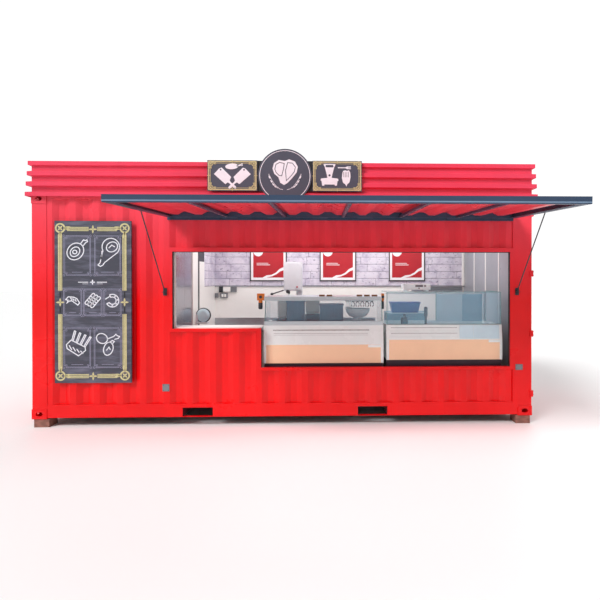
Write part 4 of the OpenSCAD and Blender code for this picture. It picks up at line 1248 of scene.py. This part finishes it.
class SHOP_OT_fixings(bpy.types.Operator):
    """Add the seals of the hatch and doors and the bolts of the header, plates, catches and gear"""
    bl_idname = "shop.fixings"
    bl_label = "Seals and fixings"

    def execute(self, context):
        bolt = context.scene.shop_sizes.bolt / MM
        doors_low, doors_high = span("cargo_doors")
        header_low, header_high = span("flap_header")
        rails_low, rails_high = span("hatch_rails")
        x0, x1, top = rails_low.x, rails_high.x, rails_high.z - 50
        step = span("left_partition")[1].x + 1035
        window_sill, counter_sill = 1080, span("hatch_uprights")[0].z + 38
        seals = Shape()
        for xa, za, xb, zb in ((x0, window_sill, x0 + 7, top), (x1 - 7, counter_sill, x1, top),
                               (step, counter_sill, step + 7, window_sill), (x0, top - 7, x1, top)):
            seals.block((xa, 0, za), (xb, 46, zb), 1.5)
        middle = (doors_low.y + doors_high.y) / 2
        leaf = side_face(doors_high.x, 0, 0)
        for a, b in ((doors_low.y, middle - 6), (middle + 6, doors_high.y)):
            seals.line(leaf, corners(a + 8, doors_low.z + 8, b - 8, doors_high.z - 8), 14, 5, closed=True)
        seals.piece("rubber_seals", "dark_fittings", "rubber")

        y, z = -11, HINGE_Z - 19
        bolts = [fasteners(at(header_low.x + 60, y, z), at(header_high.x - 60, y, z), 22, bolt, 8)]
        plates_low, plates_high = span("service_plates")
        for x, wide, z0, z1, y in ((plates_low.x, 82, 324, 411, 3), (plates_high.x - 87, 87, 561, 631, -3)):
            bolts += [fasteners(at(x + 11, y, z), at(x + wide - 11, y, z), 2, 9, 4)
                      for z in (z0 + 11, z1 - 11)]
        catch_low, catch_high = span("stay_catches")
        bolts += [fasteners(at(x, y, catch_low.z + 14), at(x, y, catch_high.z - 14), 2, 11, 6)
                  for x, y in ((catch_low.x + 23, 4), (catch_high.x - 23, -2))]
        rows("front_bolts", "dark", bolts)
        # Two screws on each keeper of the four lock rods, then two on each hinge lug
        x, gear_x = doors_high.x + 41, span("cargo_door_gear")[1].x + 1
        screws = [fasteners(at(x, y - 30, z), at(x, y + 30, z), 2, 14, 5, SIDE)
                  for y in (middle - 700, middle - 230, middle + 230, middle + 700)
                  for z in (doors_low.z + 36, doors_high.z - 32)]
        screws += [fasteners(at(gear_x, y, z + 16), at(gear_x, y, z + 60), 2, 16, 5, SIDE)
                   for z in (231, 970, 1709, 2448) for y in (40, 2 * middle - 40)]
        rows("door_gear_bolts", "zinc", screws)
        return {"FINISHED"}


# ---------------------------------------------------------------- scene

# The camera's place in metres, focal length, lens shift, and how far it nods down and turns right
EYE, LENS, SHIFT, NOD, YAW = (0.475, -6.646, 1.8), 31.26, (-0.0679, -0.0328), 0.33, 1.77

class SHOP_OT_finishes(bpy.types.Operator):
    """Make the materials and give each constructed part its own"""
    bl_idname = "shop.finishes"
    bl_label = "Finishes"

    def execute(self, context):
        FINISH.update(finishes())
        for key, names in NODE_FINISH.items():
            for name in names:
                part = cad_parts[name]
                part.data.materials.clear()
                part.data.materials.append(FINISH[key])
        return {"FINISHED"}


class SHOP_OT_stage(bpy.types.Operator):
    """Set out the floor, the lights and the camera"""
    bl_idname = "shop.stage"
    bl_label = "Stage"

    def execute(self, context):
        scene = context.scene
        floor_mesh = bpy.data.meshes.new("floor")
        reach = 60.0
        floor_mesh.from_pydata([(x, y, 0) for x, y in corners(-reach, -reach, reach, reach)], [],
                               [(0, 1, 2, 3)])
        floor = bpy.data.objects.new("floor", floor_mesh)
        floor.data.materials.append(plain("pale studio floor", linear("FAFAFA"), 0.5, 2.0, 0.99))
        scene.collection.objects.link(floor)

        # A white cyclorama behind a darker room, so that gloss paint keeps its depth
        world = bpy.data.worlds.new("studio")
        world.use_nodes = True
        tree = world.node_tree
        tree.nodes.clear()
        seen = add(tree, "ShaderNodeLightPath").outputs["Is Camera Ray"]
        room = add(tree, "ShaderNodeBackground", {"Color": (1, 1, 1, 1), "Strength": 0.4})
        wall = add(tree, "ShaderNodeBackground", {"Color": (1, 1, 1, 1), "Strength": 1.05})
        mixed = add(tree, "ShaderNodeMixShader", {"Fac": seen})
        tree.links.new(room.outputs[0], mixed.inputs[1])
        tree.links.new(wall.outputs[0], mixed.inputs[2])
        add(tree, "ShaderNodeOutputWorld", {"Surface": mixed.outputs[0]})
        scene.world = world

        # Name, side it shines from, strength and width in degrees
        suns = [("key", (-0.75, -0.85, 0.95), 2.75, 22), ("fill", (0.9, -0.6, 0.7), 0.5, 60),
                ("rear", (0.3, 1.0, 0.8), 0.7, 50)]
        for name, source, power, spread in suns:
            data = bpy.data.lights.new(name, "SUN")
            data.energy, data.angle = power, math.radians(spread)
            lamp = bpy.data.objects.new(name, data)
            lamp.rotation_euler = Vector(source).to_track_quat("Z", "Y").to_euler()
            scene.collection.objects.link(lamp)
        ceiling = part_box("ceiling_lining")
        data = bpy.data.lights.new("shop light", "AREA")
        data.shape, data.size, data.size_y, data.energy = "RECTANGLE", 3.6, 1.6, 58
        lamp = bpy.data.objects.new("shop light", data)
        lamp.location = ((ceiling[0][0] + ceiling[1][0]) / 2, (ceiling[0][1] + ceiling[1][1]) / 2,
                         ceiling[0][2] - 0.02)
        scene.collection.objects.link(lamp)

        lens = bpy.data.cameras.new("camera")
        lens.sensor_width, lens.lens = 36.0, LENS
        lens.shift_x, lens.shift_y = SHIFT
        lens.clip_end = 200.0
        eye = bpy.data.objects.new("camera", lens)
        eye.location = EYE
        eye.rotation_euler = Euler((math.radians(90.0 - NOD), 0.0, math.radians(-YAW)))
        scene.collection.objects.link(eye)
        scene.camera = eye
        scene.view_settings.view_transform = "Standard"
        return {"FINISHED"}


class SHOP_PT_panel(bpy.types.Panel):
    """Lists the shop's pieces in the sidebar"""
    bl_label = "Container butcher shop"
    bl_space_type = "VIEW_3D"
    bl_region_type = "UI"
    bl_category = "Shop"

    def draw(self, context):
        for operator in OPERATORS:
            self.layout.operator(operator.bl_idname)


OPERATORS = [SHOP_OT_finishes, SHOP_OT_menu_board, SHOP_OT_signs, SHOP_OT_posters,
             SHOP_OT_stone_panel, SHOP_OT_wall_fittings, SHOP_OT_left_case, SHOP_OT_right_case,
             SHOP_OT_bone_saw, SHOP_OT_flap, SHOP_OT_fixings, SHOP_OT_stage]
CLASSES = [ShopColours, ShopSizes] + OPERATORS + [SHOP_PT_panel]


def register():
    for cls in CLASSES:
        bpy.utils.register_class(cls)
    bpy.types.Scene.shop_colours = PointerProperty(type=ShopColours)
    bpy.types.Scene.shop_sizes = PointerProperty(type=ShopSizes)


def unregister():
    del bpy.types.Scene.shop_sizes
    del bpy.types.Scene.shop_colours
    for cls in reversed(CLASSES):
        bpy.utils.unregister_class(cls)


def main():
    register()
    for operator in OPERATORS:
        group, name = operator.bl_idname.split(".")
        getattr(getattr(bpy.ops, group), name)()


if __name__ == "__main__":
    main()
